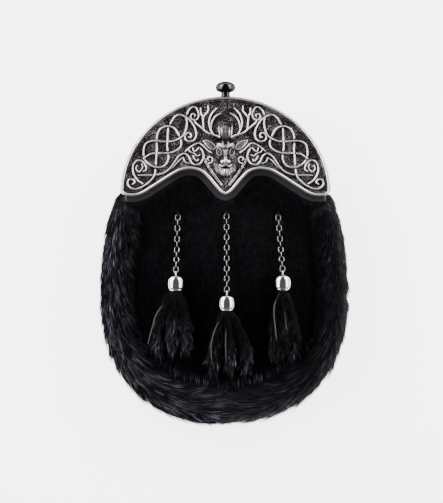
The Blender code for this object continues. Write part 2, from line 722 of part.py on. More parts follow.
def make_chain(row, material):
    """One chain of oval links, each turned a quarter from the last, fused."""
    places, half_pitch = chain_places(row)
    half_length = half_pitch - 0.5 * LINK_OVERLAP + WIRE
    links = []
    for i in range(row[5]):
        centre, along = places[2 * i + 1]
        links.append(link(centre, along, i % 2 == 1, half_length))
    name = "chain_" + row[0]
    return dress(combine(links[0], links[1:]), name, material)


def wire_loop(name, foot, up, across, height, half_span, wire):
    """A U of wire: two legs that rise from the foot and a half circle between them."""
    shoulder = height - half_span
    points = [foot - across * half_span, foot - across * half_span + up * shoulder]
    for i in range(1, LOOP_STEPS):
        angle = math.pi * i / LOOP_STEPS
        points.append(foot + up * (shoulder + half_span * math.sin(angle))
                      - across * (half_span * math.cos(angle)))
    points += [foot + across * half_span + up * shoulder, foot + across * half_span]
    return to_mesh_object(curve_object(name, points, wire))


def make_staple(row, material):
    """A wire loop on a small plate, through the first link."""
    name, x, y, _, _, _ = row
    highest = max(front_z(x, y + step * STAPLE_PLATE[1]) for step in (-0.5, 0.0, 0.5))
    base = highest + GAP + 0.5 * STAPLE_PLATE[2]
    foot = Vector((x, y + STAPLE_SHIFT, base))
    reach = fur_z(x, y) + CHAIN_LIFT + LINK_HALF_WIDTH - base
    loop = wire_loop("loop", foot, Vector((0, 0, 1)), Vector((0, 1, 0)), reach,
                     STAPLE_HALF_SPAN, STAPLE_WIRE)
    foot_plate = box("foot", STAPLE_PLATE, (x, y, base))
    return dress(combine(foot_plate, [loop]), "chain_staple_" + name, material)


def cap_profile():
    """Profile of a ball cap, from the top of the ball round into its bore."""
    points = [(0.0, CAP_RADIUS)]
    cut = math.acos(-CAP_CUT / CAP_RADIUS)
    for i in range(1, CAP_STEPS + 1):
        angle = cut * i / CAP_STEPS
        points.append((CAP_RADIUS * math.sin(angle), CAP_RADIUS * math.cos(angle)))
    return points + [(CAP_BORE, -CAP_CUT), (CAP_BORE, 0.8 * MM), (0.0, 1.4 * MM)]


def make_cap(row, material):
    """A polished ball with a flat open bottom and an eye for the chain."""
    name, _, _, x, y, count = row
    cap = turned("cap", cap_profile(), CAP_SIDES)
    centre = Vector((x, y, fur_z(x, y) + CAP_LIFT))
    tilt = Matrix.Rotation(-0.5 * math.pi, 4, "X")
    cap.matrix_world = Matrix.Translation(centre) @ tilt @ Matrix.Rotation(FACET_TURN, 4, "Z")
    cap = to_mesh_object(cap)
    is_last_edge_on = count % 2 == 0
    across = Vector((1, 0, 0)) if is_last_edge_on else Vector((0, 0, 1))
    foot = centre + Vector((0, CAP_RADIUS - EYE_SINK, 0))
    eye = wire_loop("eye", foot, Vector((0, 1, 0)), across, EYE_HEIGHT + EYE_SINK,
                    EYE_HALF_SPAN, EYE_WIRE)
    return dress(combine(cap, [eye]), "tassel_cap_" + name, material)


def lock_points(row, spread, length, height):
    """Line of one lock, from the cap's bore down to its tip on the fur."""
    _, _, _, x, y, _ = row
    axis_z = fur_z(x, y) + CAP_LIFT
    points = []
    for t in (0.0, 0.3, 0.65, 1.0):
        down = y - CAP_CUT + 1.0 * MM - length * t
        out = x + spread * (0.1 * t + 0.9 * t ** 1.4)
        lying = fur_z(out, down) + height
        ease = min(1.0, t / 0.6)
        z = axis_z + (lying - axis_z) * ease * ease * (3 - 2 * ease)
        points.append(Vector((out, down, max(z, lying))))
    return points


def make_tassel(row, material):
    """A hair tassel: a head in the cap's bore and locks that fan out below it."""
    name, _, _, x, y, _ = row
    left, right, length = (value * MM for value in TASSEL_SHAPES[name])
    head_top = y + 0.3 * MM
    head_bottom = y - CAP_CUT - 2.5 * MM
    axis_z = fur_z(x, y) + CAP_LIFT
    head = to_mesh_object(curve_object(
        "head", [(x, head_top, axis_z), (x, head_bottom, axis_z)], TASSEL_HEAD_RADIUS, 1))
    locks = []
    for i in range(TASSEL_LOCKS):
        across = i / (TASSEL_LOCKS - 1)
        spread = -left + (left + right) * across
        reach = length * (1.0 - 0.06 * (i % 3))
        lift = TASSEL_LOCK_RADIUS + (LOCK_LIFT if i % 2 else GAP)
        points = lock_points(row, spread, reach, lift)
        lock = curve_object("lock", points, TASSEL_LOCK_RADIUS, radii=LOCK_TAPER)
        locks.append(to_mesh_object(lock))
    return dress(combine(head, locks), "tassel_" + name, material)


# ---- the whole ---------------------------------------------------------------------
def build():
    """Make every piece of the sporran."""
    leather = (0.03, 0.03, 0.035)
    fur = (0.012, 0.012, 0.014)
    pewter = (0.42, 0.39, 0.38)
    silver = (0.75, 0.75, 0.76)
    make_back_panel(make_material("back_leather", leather, 0.6))
    make_gusset(make_material("gusset_leather", leather, 0.6))
    make_front_panel(make_material("front_leather", leather, 0.6))
    make_backing(make_material("lip_leather", leather, 0.45))
    make_fur_front(make_material("short_fur", fur, 0.7))
    make_fur_border(make_material("long_fur", fur, 0.7))
    make_cantle(make_material("antique_pewter", pewter, 0.35, 1.0))
    make_knob(make_material("dark_chrome", (0.2, 0.2, 0.21), 0.15, 1.0))
    for row in TASSELS:
        make_staple(row, make_material("staple_steel_" + row[0], silver, 0.3, 1.0))
        make_chain(row, make_material("chain_silver_" + row[0], silver, 0.25, 1.0))
        make_cap(row, make_material("cap_silver_" + row[0], silver, 0.12, 1.0))
        make_tassel(row, make_material("tassel_hair_" + row[0], fur, 0.6))


clear_scene()
PARTS = make_collection(PARTS_COLLECTION)
build()
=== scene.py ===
"""The looks of a dress sporran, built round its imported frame.

The pouch lies on its flat leather back. +Z comes out of its front, +Y points to the
cantle and +X to the viewer's right. Sizes are in millimetres and become metres when a
mesh is made.
"""

import logging
import math
from dataclasses import dataclass
from enum import Enum
from itertools import combinations_with_replacement
from typing import Iterable, Optional, Sequence

import bmesh
import bpy
import numpy as np
from mathutils import Matrix, Vector


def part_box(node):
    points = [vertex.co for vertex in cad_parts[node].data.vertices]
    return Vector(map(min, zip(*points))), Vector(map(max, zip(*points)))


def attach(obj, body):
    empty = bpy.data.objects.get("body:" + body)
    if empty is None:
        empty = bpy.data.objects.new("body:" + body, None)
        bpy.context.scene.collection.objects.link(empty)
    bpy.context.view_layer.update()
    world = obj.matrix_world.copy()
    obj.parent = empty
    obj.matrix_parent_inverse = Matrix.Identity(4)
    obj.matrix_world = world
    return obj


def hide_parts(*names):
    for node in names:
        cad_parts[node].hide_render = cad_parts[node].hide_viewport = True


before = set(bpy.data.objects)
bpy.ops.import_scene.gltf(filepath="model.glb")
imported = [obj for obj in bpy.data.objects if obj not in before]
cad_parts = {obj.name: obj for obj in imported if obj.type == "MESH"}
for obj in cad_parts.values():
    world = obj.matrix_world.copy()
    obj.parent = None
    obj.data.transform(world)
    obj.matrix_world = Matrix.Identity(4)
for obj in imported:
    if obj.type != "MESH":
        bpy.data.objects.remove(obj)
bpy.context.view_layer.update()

LOG = logging.getLogger("sporran")
MM = 0.001
BODY = "root"
NOTHING = -9.0  # a height below all others
AHEAD, UPWARD = np.array((0.0, 1.0, 0.0)), np.array((0.0, 0.0, 1.0))
Array = np.ndarray
Colour = tuple[float, float, float]
Data = bpy.types.ID
Material = bpy.types.Material
Points = Sequence[tuple[float, float]]
Socket = bpy.types.NodeSocket
Thing = bpy.types.Object


class Slot(Enum):
    """The material slots of the record."""

    BACK_LEATHER = "back_leather"
    LIP_LEATHER = "lip_leather"
    FUR = "fur"
    TASSEL_HAIR = "tassel_hair"
    PEWTER = "antique_pewter"
    DARK_CHROME = "dark_chrome"
    SILVER = "silver"


# ---- small tools ----
def smoothstep(low: float, high: float, value: Array) -> Array:
    """Return 0 below low, 1 above high and a smooth rise between them."""
    t = np.clip((np.asarray(value, float) - low) / (high - low), 0, 1)
    return t * t * (3.0 - 2.0 * t)


def bell(value: Array, middle: float, width: float) -> Array:
    """Return a bell curve, 1 at its middle."""
    return np.exp(-((value - middle) / width) ** 2)


def dome(value: Array, middle: float, half: float, fullness: float) -> Array:
    """Return a rounded ridge, 1 at its middle and 0 beside it; full ones have a low power."""
    return np.clip(1.0 - ((value - middle) / half) ** 2, 0, 1) ** fullness


def unit(vectors: Array) -> Array:
    """Return vectors at a length of one."""
    return vectors / np.maximum(np.linalg.norm(vectors, axis=-1, keepdims=True), 1e-9)


def round_angles(count: int) -> Array:
    """Return angles at even steps round a circle."""
    return np.linspace(0.0, 2.0 * math.pi, count, endpoint=False)


def spline(points: Points, step: float) -> Array:
    """Return a smooth line through given points.

    Args:
        points: places that the line passes through.
        step: rough distance between the places returned.

    Returns:
        An array with a row for each place.
    """
    knots = np.asarray(points, float)
    knots = np.vstack([2 * knots[0] - knots[1], knots, 2 * knots[-1] - knots[-2]])
    rows = []
    for a, b, c, d in zip(knots, knots[1:], knots[2:], knots[3:]):
        count = max(1, int(math.ceil(np.linalg.norm(c - b) / step)))
        t = (np.arange(count) / count)[:, None]
        rows.append(0.5 * (2 * b + (c - a) * t + (2 * a - 5 * b + 4 * c - d) * t ** 2
                           + (3 * b - a - 3 * c + d) * t ** 3))
    return np.vstack([*rows, knots[-2]])


def arc_lengths(line: Array) -> Array:
    """Return the distance along a line at each of its places."""
    return np.concatenate([[0.0], np.cumsum(np.linalg.norm(np.diff(line, axis=0), axis=1))])


def resample(line: Array, count: int) -> Array:
    """Return count places at equal steps along a line."""
    lengths = arc_lengths(line)
    targets = np.linspace(0.0, lengths[-1], count)
    return np.stack([np.interp(targets, lengths, column) for column in line.T], 1)


def tangents(line: Array) -> Array:
    """Return the unit direction of a line at each of its places."""
    return unit(np.gradient(line, axis=0))


def outward(line: Array) -> Array:
    """Return the unit normal on the right-hand side of a flat line at each of its places."""
    along = tangents(line)
    return np.stack([along[:, 1], -along[:, 0]], 1)


def both_sides(right: Array) -> Array:
    """Return a flat line from its left end through the centre line to its right end."""
    return np.vstack([right[::-1] * (-1.0, 1.0), right[1:]])


def nearest_on_line(x: Array, y: Array, line: Array) -> tuple[Array, Array]:
    """Find how far flat places lie from a line.

    Args:
        x, y: the places, one-dimensional arrays.
        line: the line's own places, a row each.

    Returns:
        The distance of each place and the arc length at its nearest point of the line.
    """
    best, where = np.full(x.shape, np.inf), np.zeros(x.shape)
    for (ax, ay), (dx, dy), start in zip(line, np.diff(line, axis=0), arc_lengths(line)):
        size = dx * dx + dy * dy
        t = np.clip(((x - ax) * dx + (y - ay) * dy) / max(size, 1e-12), 0, 1)
        gap = np.hypot(x - ax - t * dx, y - ay - t * dy)
        where = np.where(gap < best, start + t * math.sqrt(size), where)
        best = np.minimum(best, gap)
    return best, where


def rectangle(half_x: float, half_y: float, centre: Sequence[float] = (0.0, 0.0)) -> Array:
    """Return the corners of a rectangle, anticlockwise."""
    corners = [(-half_x, -half_y), (half_x, -half_y), (half_x, half_y), (-half_x, half_y)]
    return np.array(corners) + centre


def rounded_corners(corners: Array, radius: float, steps: int = 5) -> Array:
    """Return a closed outline with its right-angled corners rounded in steps."""
    rows = []
    for before, corner, after in zip(np.roll(corners, 1, 0), corners, np.roll(corners, -1, 0)):
        back, ahead = unit(before - corner), unit(after - corner)
        for t in np.linspace(0.0, 0.5 * math.pi, steps + 1):
            rows.append(corner + radius * ((1.0 - math.sin(t)) * back + (1.0 - math.cos(t)) * ahead))
    return np.array(rows)


def add_to_scene(name: str, data: Data) -> Thing:
    """Make an object at the origin that holds the data."""
    thing = bpy.data.objects.new(name, data)
    bpy.context.scene.collection.objects.link(thing)
    return thing


def baked(thing: Thing, name: str) -> bpy.types.Mesh:
    """Return an object's final shape as a plain mesh of a name and remove the object."""
    bpy.context.view_layer.update()
    ready = thing.evaluated_get(bpy.context.evaluated_depsgraph_get())
    mesh = bpy.data.meshes.new_from_object(ready)
    thing.modifiers.clear()
    bpy.data.objects.remove(thing, do_unlink=True)
    mesh.name = name
    return mesh


def make_object(name: str, vertices: Array, faces: Iterable[Sequence[int]], smooth: bool = True) -> Thing:
    """Make a mesh object at the origin.

    Args:
        name: the piece's name.
        vertices: places in millimetres, a row each.
        faces: vertex numbers of each face, turned outward.
        smooth: whether the faces are shaded smooth.

    Returns:
        The object.
    """
    mesh = bpy.data.meshes.new(name)
    mesh.from_pydata((np.asarray(vertices, float) * MM).tolist(), [], [list(f) for f in faces])
    mesh.validate()
    if smooth:
        mesh.shade_smooth()
    return add_to_scene(name, mesh)


def grid_faces(rows: int, columns: int, wrap: bool = False) -> Array:
    """Return the quads of a grid of vertices numbered row by row.

    Args:
        rows, columns: how many vertices the grid has each way.
        wrap: whether the last column joins the first.

    Returns:
        Four vertex numbers for each quad.
    """
    i = np.arange(rows - 1)[:, None]
    j = np.arange(columns if wrap else columns - 1)[None, :]
    k = (j + 1) % columns
    quads = np.stack(np.broadcast_arrays(i * columns + j, i * columns + k,
                                         (i + 1) * columns + k, (i + 1) * columns + j), -1)
    return quads.reshape(-1, 4)


def face_outward(thing: Thing) -> Thing:
    """Merge doubled vertices of a closed mesh, turn its faces outward and return it."""
    bm = bmesh.new()
    bm.from_mesh(thing.data)
    bmesh.ops.remove_doubles(bm, verts=bm.verts, dist=0.001 * MM)
    bmesh.ops.recalc_face_normals(bm, faces=bm.faces)
    bm.to_mesh(thing.data)
    bm.free()
    return thing


def sharpen(thing: Thing, degrees: float) -> None:
    """Keep edges that turn by more than an angle sharp in a smooth-shaded mesh."""
    bm = bmesh.new()
    bm.from_mesh(thing.data)
    limit = math.radians(degrees)
    for edge in bm.edges:
        edge.smooth = not (edge.is_manifold and edge.calc_face_angle() > limit)
    bm.to_mesh(thing.data)
    bm.free()


def joined(name: str, pieces: Sequence[Thing]) -> Thing:
    """Join pieces into one mesh and remove them."""
    bm = bmesh.new()
    for piece in pieces:
        bm.from_mesh(piece.data)
        bpy.data.objects.remove(piece, do_unlink=True)
    mesh = bpy.data.meshes.new(name)
    bm.to_mesh(mesh)
    bm.free()
    mesh.shade_smooth()
    return add_to_scene(name, mesh)


def store(thing: Thing, name: str, values: Array) -> None:
    """Store a number or a vector for each vertex of a mesh."""
    kind, key = ("FLOAT_VECTOR", "vector") if values.ndim == 2 else ("FLOAT", "value")
    attribute = thing.data.attributes.new(name, kind, "POINT")
    attribute.data.foreach_set(key, np.ascontiguousarray(values, np.float32).ravel())


def paint(thing: Thing, material: Material) -> None:
    """Give a piece one material."""
    thing.data.materials.clear()
    thing.data.materials.append(material)


def finish_piece(thing: Thing, material: Material, slot: Slot, *nodes: str) -> Thing:
    """Dress a piece, let it ride on the body and stand for its solids.

    Args:
        thing: the piece.
        material: its material.
        slot: the record's slot of the material; not used.
        nodes: the frame's solids that it takes the place of.

    Returns:
        The piece.
    """
    paint(thing, material)
    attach(thing, BODY)
    if nodes:
        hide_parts(*nodes)
    return thing


# ---- nodes ----
def used_socket(sockets: Iterable[Socket], name: str) -> Socket:
    """Return the socket of a name that a node uses with its present settings."""
    return next(s for s in sockets if s.name == name and s.enabled)


class Graph:
    """A node tree built in code, with short ways to add and join its nodes."""

    kind = "ShaderNode"  # what the names of most of its nodes begin with

    def __init__(self, tree: bpy.types.NodeTree) -> None:
        """Start from a tree."""
        self.tree = tree

    def add(self, kind: str, values: Optional[dict[object, object]] = None,
            **settings: object) -> bpy.types.Node:
        """Add a node.

        Args:
            kind: the node's type, without what most begin with.
            values: what each input is joined to or set to, by name or number.
            settings: the node's own properties.

        Returns:
            The node.
        """
        is_full = kind.startswith(("GeometryNode", "ShaderNode", "FunctionNode"))
        node = self.tree.nodes.new(kind if is_full else self.kind + kind)
        for key, value in settings.items():
            setattr(node, key, value)
        for key, value in (values or {}).items():
            self.join(value, node.inputs[key])
        return node

    def join(self, source: object, target: Socket) -> None:
        """Link an output to an input, or set the input where a plain value is given."""
        if isinstance(source, Socket):
            self.tree.links.new(source, target)
        else:
            target.default_value = source

    def math(self, operation: str, first: object, *others: object) -> Socket:
        """Return the result of a sum on numbers, worked out from left to right."""
        for other in others:
            node = self.add("ShaderNodeMath", {0: first, 1: other}, operation=operation)
            first = node.outputs[0]
        return first

    def product(self, *factors: object) -> Socket:
        """Return numbers multiplied together."""
        return self.math("MULTIPLY", *factors)


class Recipe(Graph):
    """A Geometry Nodes tree with named inputs."""

    kind = "GeometryNode"

    def __init__(self, name: str, numbers: dict[str, float], counts: dict[str, int]) -> None:
        """Start a tree.

        Args:
            name: the tree's name.
            numbers: its named number inputs and their defaults.
            counts: its named whole-number inputs and their defaults.
        """
        super().__init__(bpy.data.node_groups.new(name, "GeometryNodeTree"))
        self.tree.is_modifier = True
        face = self.tree.interface
        face.new_socket("Geometry", in_out="INPUT", socket_type="NodeSocketGeometry")
        for kind, values in (("Float", numbers), ("Int", counts)):
            for key, value in values.items():
                socket = face.new_socket(key, in_out="INPUT", socket_type="NodeSocket" + kind)
                socket.default_value = value
        face.new_socket("Material", in_out="INPUT", socket_type="NodeSocketMaterial")
        face.new_socket("Geometry", in_out="OUTPUT", socket_type="NodeSocketGeometry")
        self.given = self.tree.nodes.new("NodeGroupInput").outputs
        self.end = self.tree.nodes.new("NodeGroupOutput").inputs

    def vector(self, operation: str, first: object, *others: object) -> Socket:
        """Return the result of a sum on vectors, worked out from left to right."""
        for other in others:
            node = self.add("ShaderNodeVectorMath", {0: first, 1: other}, operation=operation)
            first = node.outputs["Vector"]
        return first

    def scaled(self, vector: object, scale: object) -> Socket:
        """Return a vector times a number."""
        return self.add("ShaderNodeVectorMath", {0: vector, "Scale": scale},
                        operation="SCALE").outputs["Vector"]

    def xyz(self, x: object, y: object, z: object) -> Socket:
        """Return a vector from three numbers."""
        return self.add("ShaderNodeCombineXYZ", {0: x, 1: y, 2: z}).outputs[0]

    def named(self, name: str, kind: str = "FLOAT") -> Socket:
        """Return an attribute stored on the geometry."""
        node = self.add("InputNamedAttribute", {"Name": name}, data_type=kind)
        return used_socket(node.outputs, "Attribute")

    def named_vector(self, name: str) -> Socket:
        """Return a vector stored on the geometry."""
        return self.named(name, "FLOAT_VECTOR")

    def keep(self, geometry: Socket, name: str, value: Socket) -> Socket:
        """Store a number or a vector by name and return the geometry that has it."""
        kind = "FLOAT_VECTOR" if value.type == "VECTOR" else "FLOAT"
        node = self.add("StoreNamedAttribute", {"Geometry": geometry, "Name": name}, data_type=kind)
        self.join(value, used_socket(node.inputs, "Value"))
        return node.outputs[0]

    def random(self, low: float, high: float, seed: int) -> Socket:
        """Return a random number for each element."""
        node = self.add("FunctionNodeRandomValue", {"Seed": seed}, data_type="FLOAT")
        self.join(low, used_socket(node.inputs, "Min"))
        self.join(high, used_socket(node.inputs, "Max"))
        return used_socket(node.outputs, "Value")

    def wander(self, place: object, size: float, amount: object) -> Socket:
        """Return a vector of smooth noise about zero, its lumps size millimetres wide."""
        node = self.add("ShaderNodeTexNoise", {"Vector": place, "Scale": 1.0 / (size * MM),
                                               "Detail": 1.0})
        centred = self.vector("SUBTRACT", node.outputs["Color"], (0.5, 0.5, 0.5))
        return self.scaled(centred, amount)

    def facing(self, primary: object, secondary: object) -> Socket:
        """Return the turn that points X along the first vector and Z towards the second."""
        return self.add("FunctionNodeAxesToRotation", {
            "Primary Axis": primary, "Secondary Axis": secondary},
            primary_axis="X", secondary_axis="Z").outputs[0]

    def realized(self, points: Socket, shape: Socket, turn: Socket,
                 scale: object = (1.0, 1.0, 1.0)) -> Socket:
        """Return a copy of a shape on each point, all as one real mesh."""
        placed = self.add("InstanceOnPoints", {
            "Points": points, "Instance": shape, "Rotation": turn, "Scale": scale}).outputs[0]
        return self.add("RealizeInstances", {"Geometry": placed}).outputs[0]

    def wire(self, line: Socket, radius: object, sides: object, is_capped: bool = False) -> Socket:
        """Return a smooth round wire along a curve, with a number of facets round it."""
        ring = self.add("CurvePrimitiveCircle", {"Resolution": sides, "Radius": radius}, mode="RADIUS")
        wire = self.add("CurveToMesh", {"Curve": line, "Profile Curve": ring.outputs["Curve"],
                                        "Fill Caps": is_capped}).outputs[0]
        return self.add("SetShadeSmooth", {"Geometry": wire, "Shade Smooth": True}).outputs[0]

    def close(self, geometry: Socket) -> "Recipe":
        """End the tree with the material on its mesh and return it."""
        done = self.add("SetMaterial", {"Geometry": geometry, "Material": self.given["Material"]})
        self.join(done.outputs[0], self.end[0])
        return self

    def grow(self, base: Thing, name: str, material: Material, **values: object) -> Thing:
        """Run the tree on a mesh and return its result as a plain mesh.

        Args:
            base: the mesh that the tree starts from; it is removed afterwards.
            name: name of the piece.
            material: material of the piece.
            values: the named inputs, _ for a space.

        Returns:
            The piece.
        """
        modifier = base.modifiers.new(self.tree.name, "NODES")
        modifier.node_group = self.tree
        wanted = {key.replace("_", " "): value for key, value in values.items()}
        wanted["Material"] = material
        for item in self.tree.interface.items_tree:
            if item.in_out == "INPUT" and item.name in wanted:
                modifier[item.identifier] = wanted[item.name]
        return add_to_scene(name, baked(base, name))


def strand_shape(tree: Recipe, segments: int) -> Socket:
    """Add the nodes of one straight tapered hair of unit length and width along +X.

    Args:
        tree: the tree that they are added to.
        segments: straight pieces in the hair.

    Returns:
        The hair's mesh.
    """
    line = tree.add("CurvePrimitiveLine", {"Start": (0.0, 0.0, 0.0), "End": (1.0, 0.0, 0.0)})
    line = tree.add("ResampleCurve", {"Curve": line.outputs[0], "Count": segments + 1})
    along = tree.add("SplineParameter").outputs["Factor"]
    curve = tree.keep(line.outputs[0], "along", along)
    radius = tree.math("SUBTRACT", 0.5, tree.product(0.5, tree.math("POWER", along, 2.2)))
    curve = tree.add("SetCurveRadius", {"Curve": curve, "Radius": radius}).outputs[0]
    ring = tree.add("CurvePrimitiveCircle", {"Resolution": 3, "Radius": 1.0}, mode="RADIUS")
    tube = tree.add("CurveToMesh", {"Curve": curve, "Profile Curve": ring.outputs["Curve"],
                                    "Fill Caps": True})
    tree.join(tree.add("InputRadius").outputs[0], tube.inputs["Scale"])
    return tree.add("MergeByDistance", {"Geometry": tube.outputs[0], "Distance": 0.0005}).outputs[0]


def hair_recipe(name: str, segments: int, wave_size: float) -> Recipe:
    """Make the tree that grows hair on a scalp.

    The scalp's vertices carry comb (direction), reach (length in metres) and lift (how
    far a tip stands up, as a share of its length).

    Args:
        name: the tree's name.
        segments: straight pieces in each hair.
        wave_size: length of the hair's waves in millimetres.

    Returns:
        The tree.
    """
    tree = Recipe(name, {"Density": 1.0e6, "Width": 0.4 * MM, "Clump Size": 5.0 * MM,
                         "Clump": 0.5, "Waviness": 0.6 * MM, "Stray": 0.3}, {"Seed": 1})
    given = tree.given
    scatter = tree.add("DistributePointsOnFaces", {
        "Mesh": given["Geometry"], "Density": given["Density"], "Seed": given["Seed"]}).outputs
    place = tree.add("InputPosition").outputs[0]
    points = tree.keep(scatter["Points"], "up", scatter["Normal"])
    points = tree.keep(points, "root", place)
    points = tree.keep(points, "tone", tree.random(0.0, 1.0, 3))
    lengths = tree.product(tree.named("reach"), tree.random(0.72, 1.12, 5))
    points = tree.keep(points, "reach", lengths)
    # the comb's direction, astray by whole locks and hair by hair
    bent = tree.vector("ADD", tree.named_vector("comb"), tree.wander(place, 7.0, given["Stray"]),
                       tree.wander(place, 1.6, tree.product(given["Stray"], 0.8)))
    size = tree.xyz(tree.named("reach"), given["Width"], given["Width"])
    real = tree.realized(points, strand_shape(tree, segments),
                         tree.facing(bent, tree.named_vector("up")), size)
    # each hair rises and bends over, its tip drawn to the middle of its lock
    root, along = tree.named_vector("root"), tree.named("along")
    bend = tree.math("SUBTRACT", 1.7, tree.product(along, 0.9))
    rise = tree.product(along, bend, tree.product(tree.named("reach"), tree.named("lift")))
    cell = tree.add("ShaderNodeTexVoronoi", {
        "Vector": root, "Scale": tree.math("DIVIDE", 1.0, given["Clump Size"])}).outputs
    pull = tree.product(given["Clump"], tree.math("POWER", along, 1.3))
    waves = tree.wander(tree.vector("ADD", root, tree.scaled(place, 0.6)), wave_size,
                        tree.product(given["Waviness"], tree.product(along, 4.0)))
    shift = tree.vector(
        "ADD", tree.scaled(tree.named_vector("up"), rise),
        tree.scaled(tree.vector("SUBTRACT", cell["Position"], root), pull), waves)
    parts = tree.add("ShaderNodeSeparateXYZ", {0: tree.vector("ADD", place, shift)}).outputs
    over_table = tree.math("ADD", 0.4 * MM, tree.product(tree.named("tone"), 2.0 * MM))
    above = tree.math("MAXIMUM", parts[2], over_table)
    moved = tree.add("SetPosition", {
        "Geometry": real, "Position": tree.xyz(parts[0], parts[1], above)}).outputs[0]
    sheen = tree.add("FunctionNodeSeparateColor", {0: cell["Color"]}).outputs[0]
    moved = tree.keep(moved, "lock", sheen)
    for used in ("up", "root", "comb", "reach", "lift"):
        moved = tree.add("RemoveAttribute", {"Geometry": moved, "Name": used}).outputs[0]
    return tree.close(moved)


def chain_recipe() -> Recipe:
    """Make the tree that puts an oval wire link on each point of a chain.

    The points carry along, the chain's direction; every second link lies edge-on.

    Returns:
        The tree.
    """
    tree = Recipe("chain_links", {"Length": 5.0 * MM, "Width": 3.2 * MM, "Wire": 0.5 * MM},
                  {"Wire Sides": 10, "Bend Steps": 7})
    given = tree.given
    oval = tree.add("CurvePrimitiveQuadrilateral", {
        "Width": given["Length"], "Height": given["Width"]}, mode="RECTANGLE")
    rounded = tree.add("FilletCurve", {
        "Curve": oval.outputs[0], "Radius": tree.product(given["Width"], 0.499),
        "Limit Radius": True}, mode="POLY")
    tree.join(given["Bend Steps"], rounded.inputs["Count"])
    link = tree.wire(rounded.outputs[0], given["Wire"], given["Wire Sides"])
    odd = tree.math("MODULO", tree.add("InputIndex").outputs[0], 2.0)
    flat = tree.xyz(0.0, 0.0, 1.0)
    along = tree.named_vector("along")
    side = tree.vector("CROSS_PRODUCT", along, flat)
    facing = tree.vector("ADD", tree.scaled(flat, tree.math("SUBTRACT", 1.0, odd)),
                         tree.scaled(side, odd))
    return tree.close(tree.realized(given["Geometry"], link, tree.facing(along, facing)))


def stitch_recipe() -> Recipe:
    """Make the tree that lays one rounded stitch on each point of a seam.

    The points carry along, the seam's direction, and up, away from the leather.

    Returns:
        The tree.
    """
    tree = Recipe("seam_stitches", {"Length": 2.4 * MM, "Thread": 0.32 * MM}, {"Sides": 6})
    given = tree.given
    arch = tree.add("CurvePrimitiveBezierSegment", {
        "Resolution": 6, "Start": (-0.5, 0.0, -0.12), "Start Handle": (-0.4, 0.0, 0.1),
        "End Handle": (0.4, 0.0, 0.1), "End": (0.5, 0.0, -0.12)}, mode="POSITION")
    arch = tree.add("Transform", {"Geometry": arch.outputs[0], "Scale": tree.xyz(*[given["Length"]] * 3)})
    thread = tree.wire(arch.outputs[0], given["Thread"], given["Sides"], True)
    turn = tree.facing(tree.named_vector("along"), tree.named_vector("up"))
    return tree.close(tree.realized(given["Geometry"], thread, turn))


# ---- materials ----
class Shader(Graph):
    """A material with a Principled shader."""

    def __init__(self, name: str) -> None:
        """Start an empty material of the given name."""
        self.material = bpy.data.materials.new(name)
        self.material.use_nodes = True
        super().__init__(self.material.node_tree)
        self.principled = self.tree.nodes["Principled BSDF"]
        self.place = self.add("TexCoord").outputs["Object"]

    def set(self, **values: object) -> None:
        """Set or link inputs of the Principled shader; _ in a name stands for a space."""
        for key, value in values.items():
            self.join(value, self.principled.inputs[key.replace("_", " ")])

    def stretch(self, scale: tuple[float, float, float]) -> Socket:
        """Return object coordinates scaled along each axis."""
        return self.add("Mapping", {"Vector": self.place, "Scale": scale}).outputs["Vector"]

    def noise(self, size: float, detail: float = 3.0, rough: float = 0.55,
              place: Optional[Socket] = None) -> Socket:
        """Return noise whose lumps are about size millimetres wide."""
        return self.add("TexNoise", {
            "Vector": place or self.place, "Scale": 1.0 / (size * MM), "Detail": detail,
            "Roughness": rough}).outputs["Fac"]

    def cells(self, size: float, feature: str = "F1", dimensions: str = "3D") -> Socket:
        """Return the distance in a pattern of cells about size millimetres wide."""
        return self.add("TexVoronoi", {"Vector": self.place, "Scale": 1.0 / (size * MM)},
                        feature=feature, voronoi_dimensions=dimensions).outputs["Distance"]

    def attribute(self, name: str) -> Socket:
        """Return a number stored on the mesh."""
        return self.add("Attribute", attribute_name=name).outputs["Fac"]

    def between(self, value: object, low: float, high: float, start: float = 0.0,
                end: float = 1.0) -> Socket:
        """Map a number from low..high to start..end, smoothly and clamped."""
        return self.add("MapRange", {
            "Value": value, "From Min": low, "From Max": high, "To Min": start, "To Max": end},
            interpolation_type="SMOOTHSTEP").outputs["Result"]

    def mix(self, factor: object, first: object, second: object) -> Socket:
        """Return a colour between two colours; plain colours are (r, g, b)."""
        node = self.add("Mix", {"Factor": factor}, data_type="RGBA")
        for colour, key in ((first, "A"), (second, "B")):
            self.join((*colour, 1.0) if isinstance(colour, tuple) else colour,
                      used_socket(node.inputs, key))
        return used_socket(node.outputs, "Result")

    def bump(self, height: object, depth: float, strength: float = 1.0,
             after: Optional[Socket] = None) -> Socket:
        """Return a normal bumped by a height of up to depth millimetres."""
        node = self.add("Bump", {"Height": height, "Distance": depth * MM, "Strength": strength})
        if after is not None:
            self.join(after, node.inputs["Normal"])
        return node.outputs["Normal"]


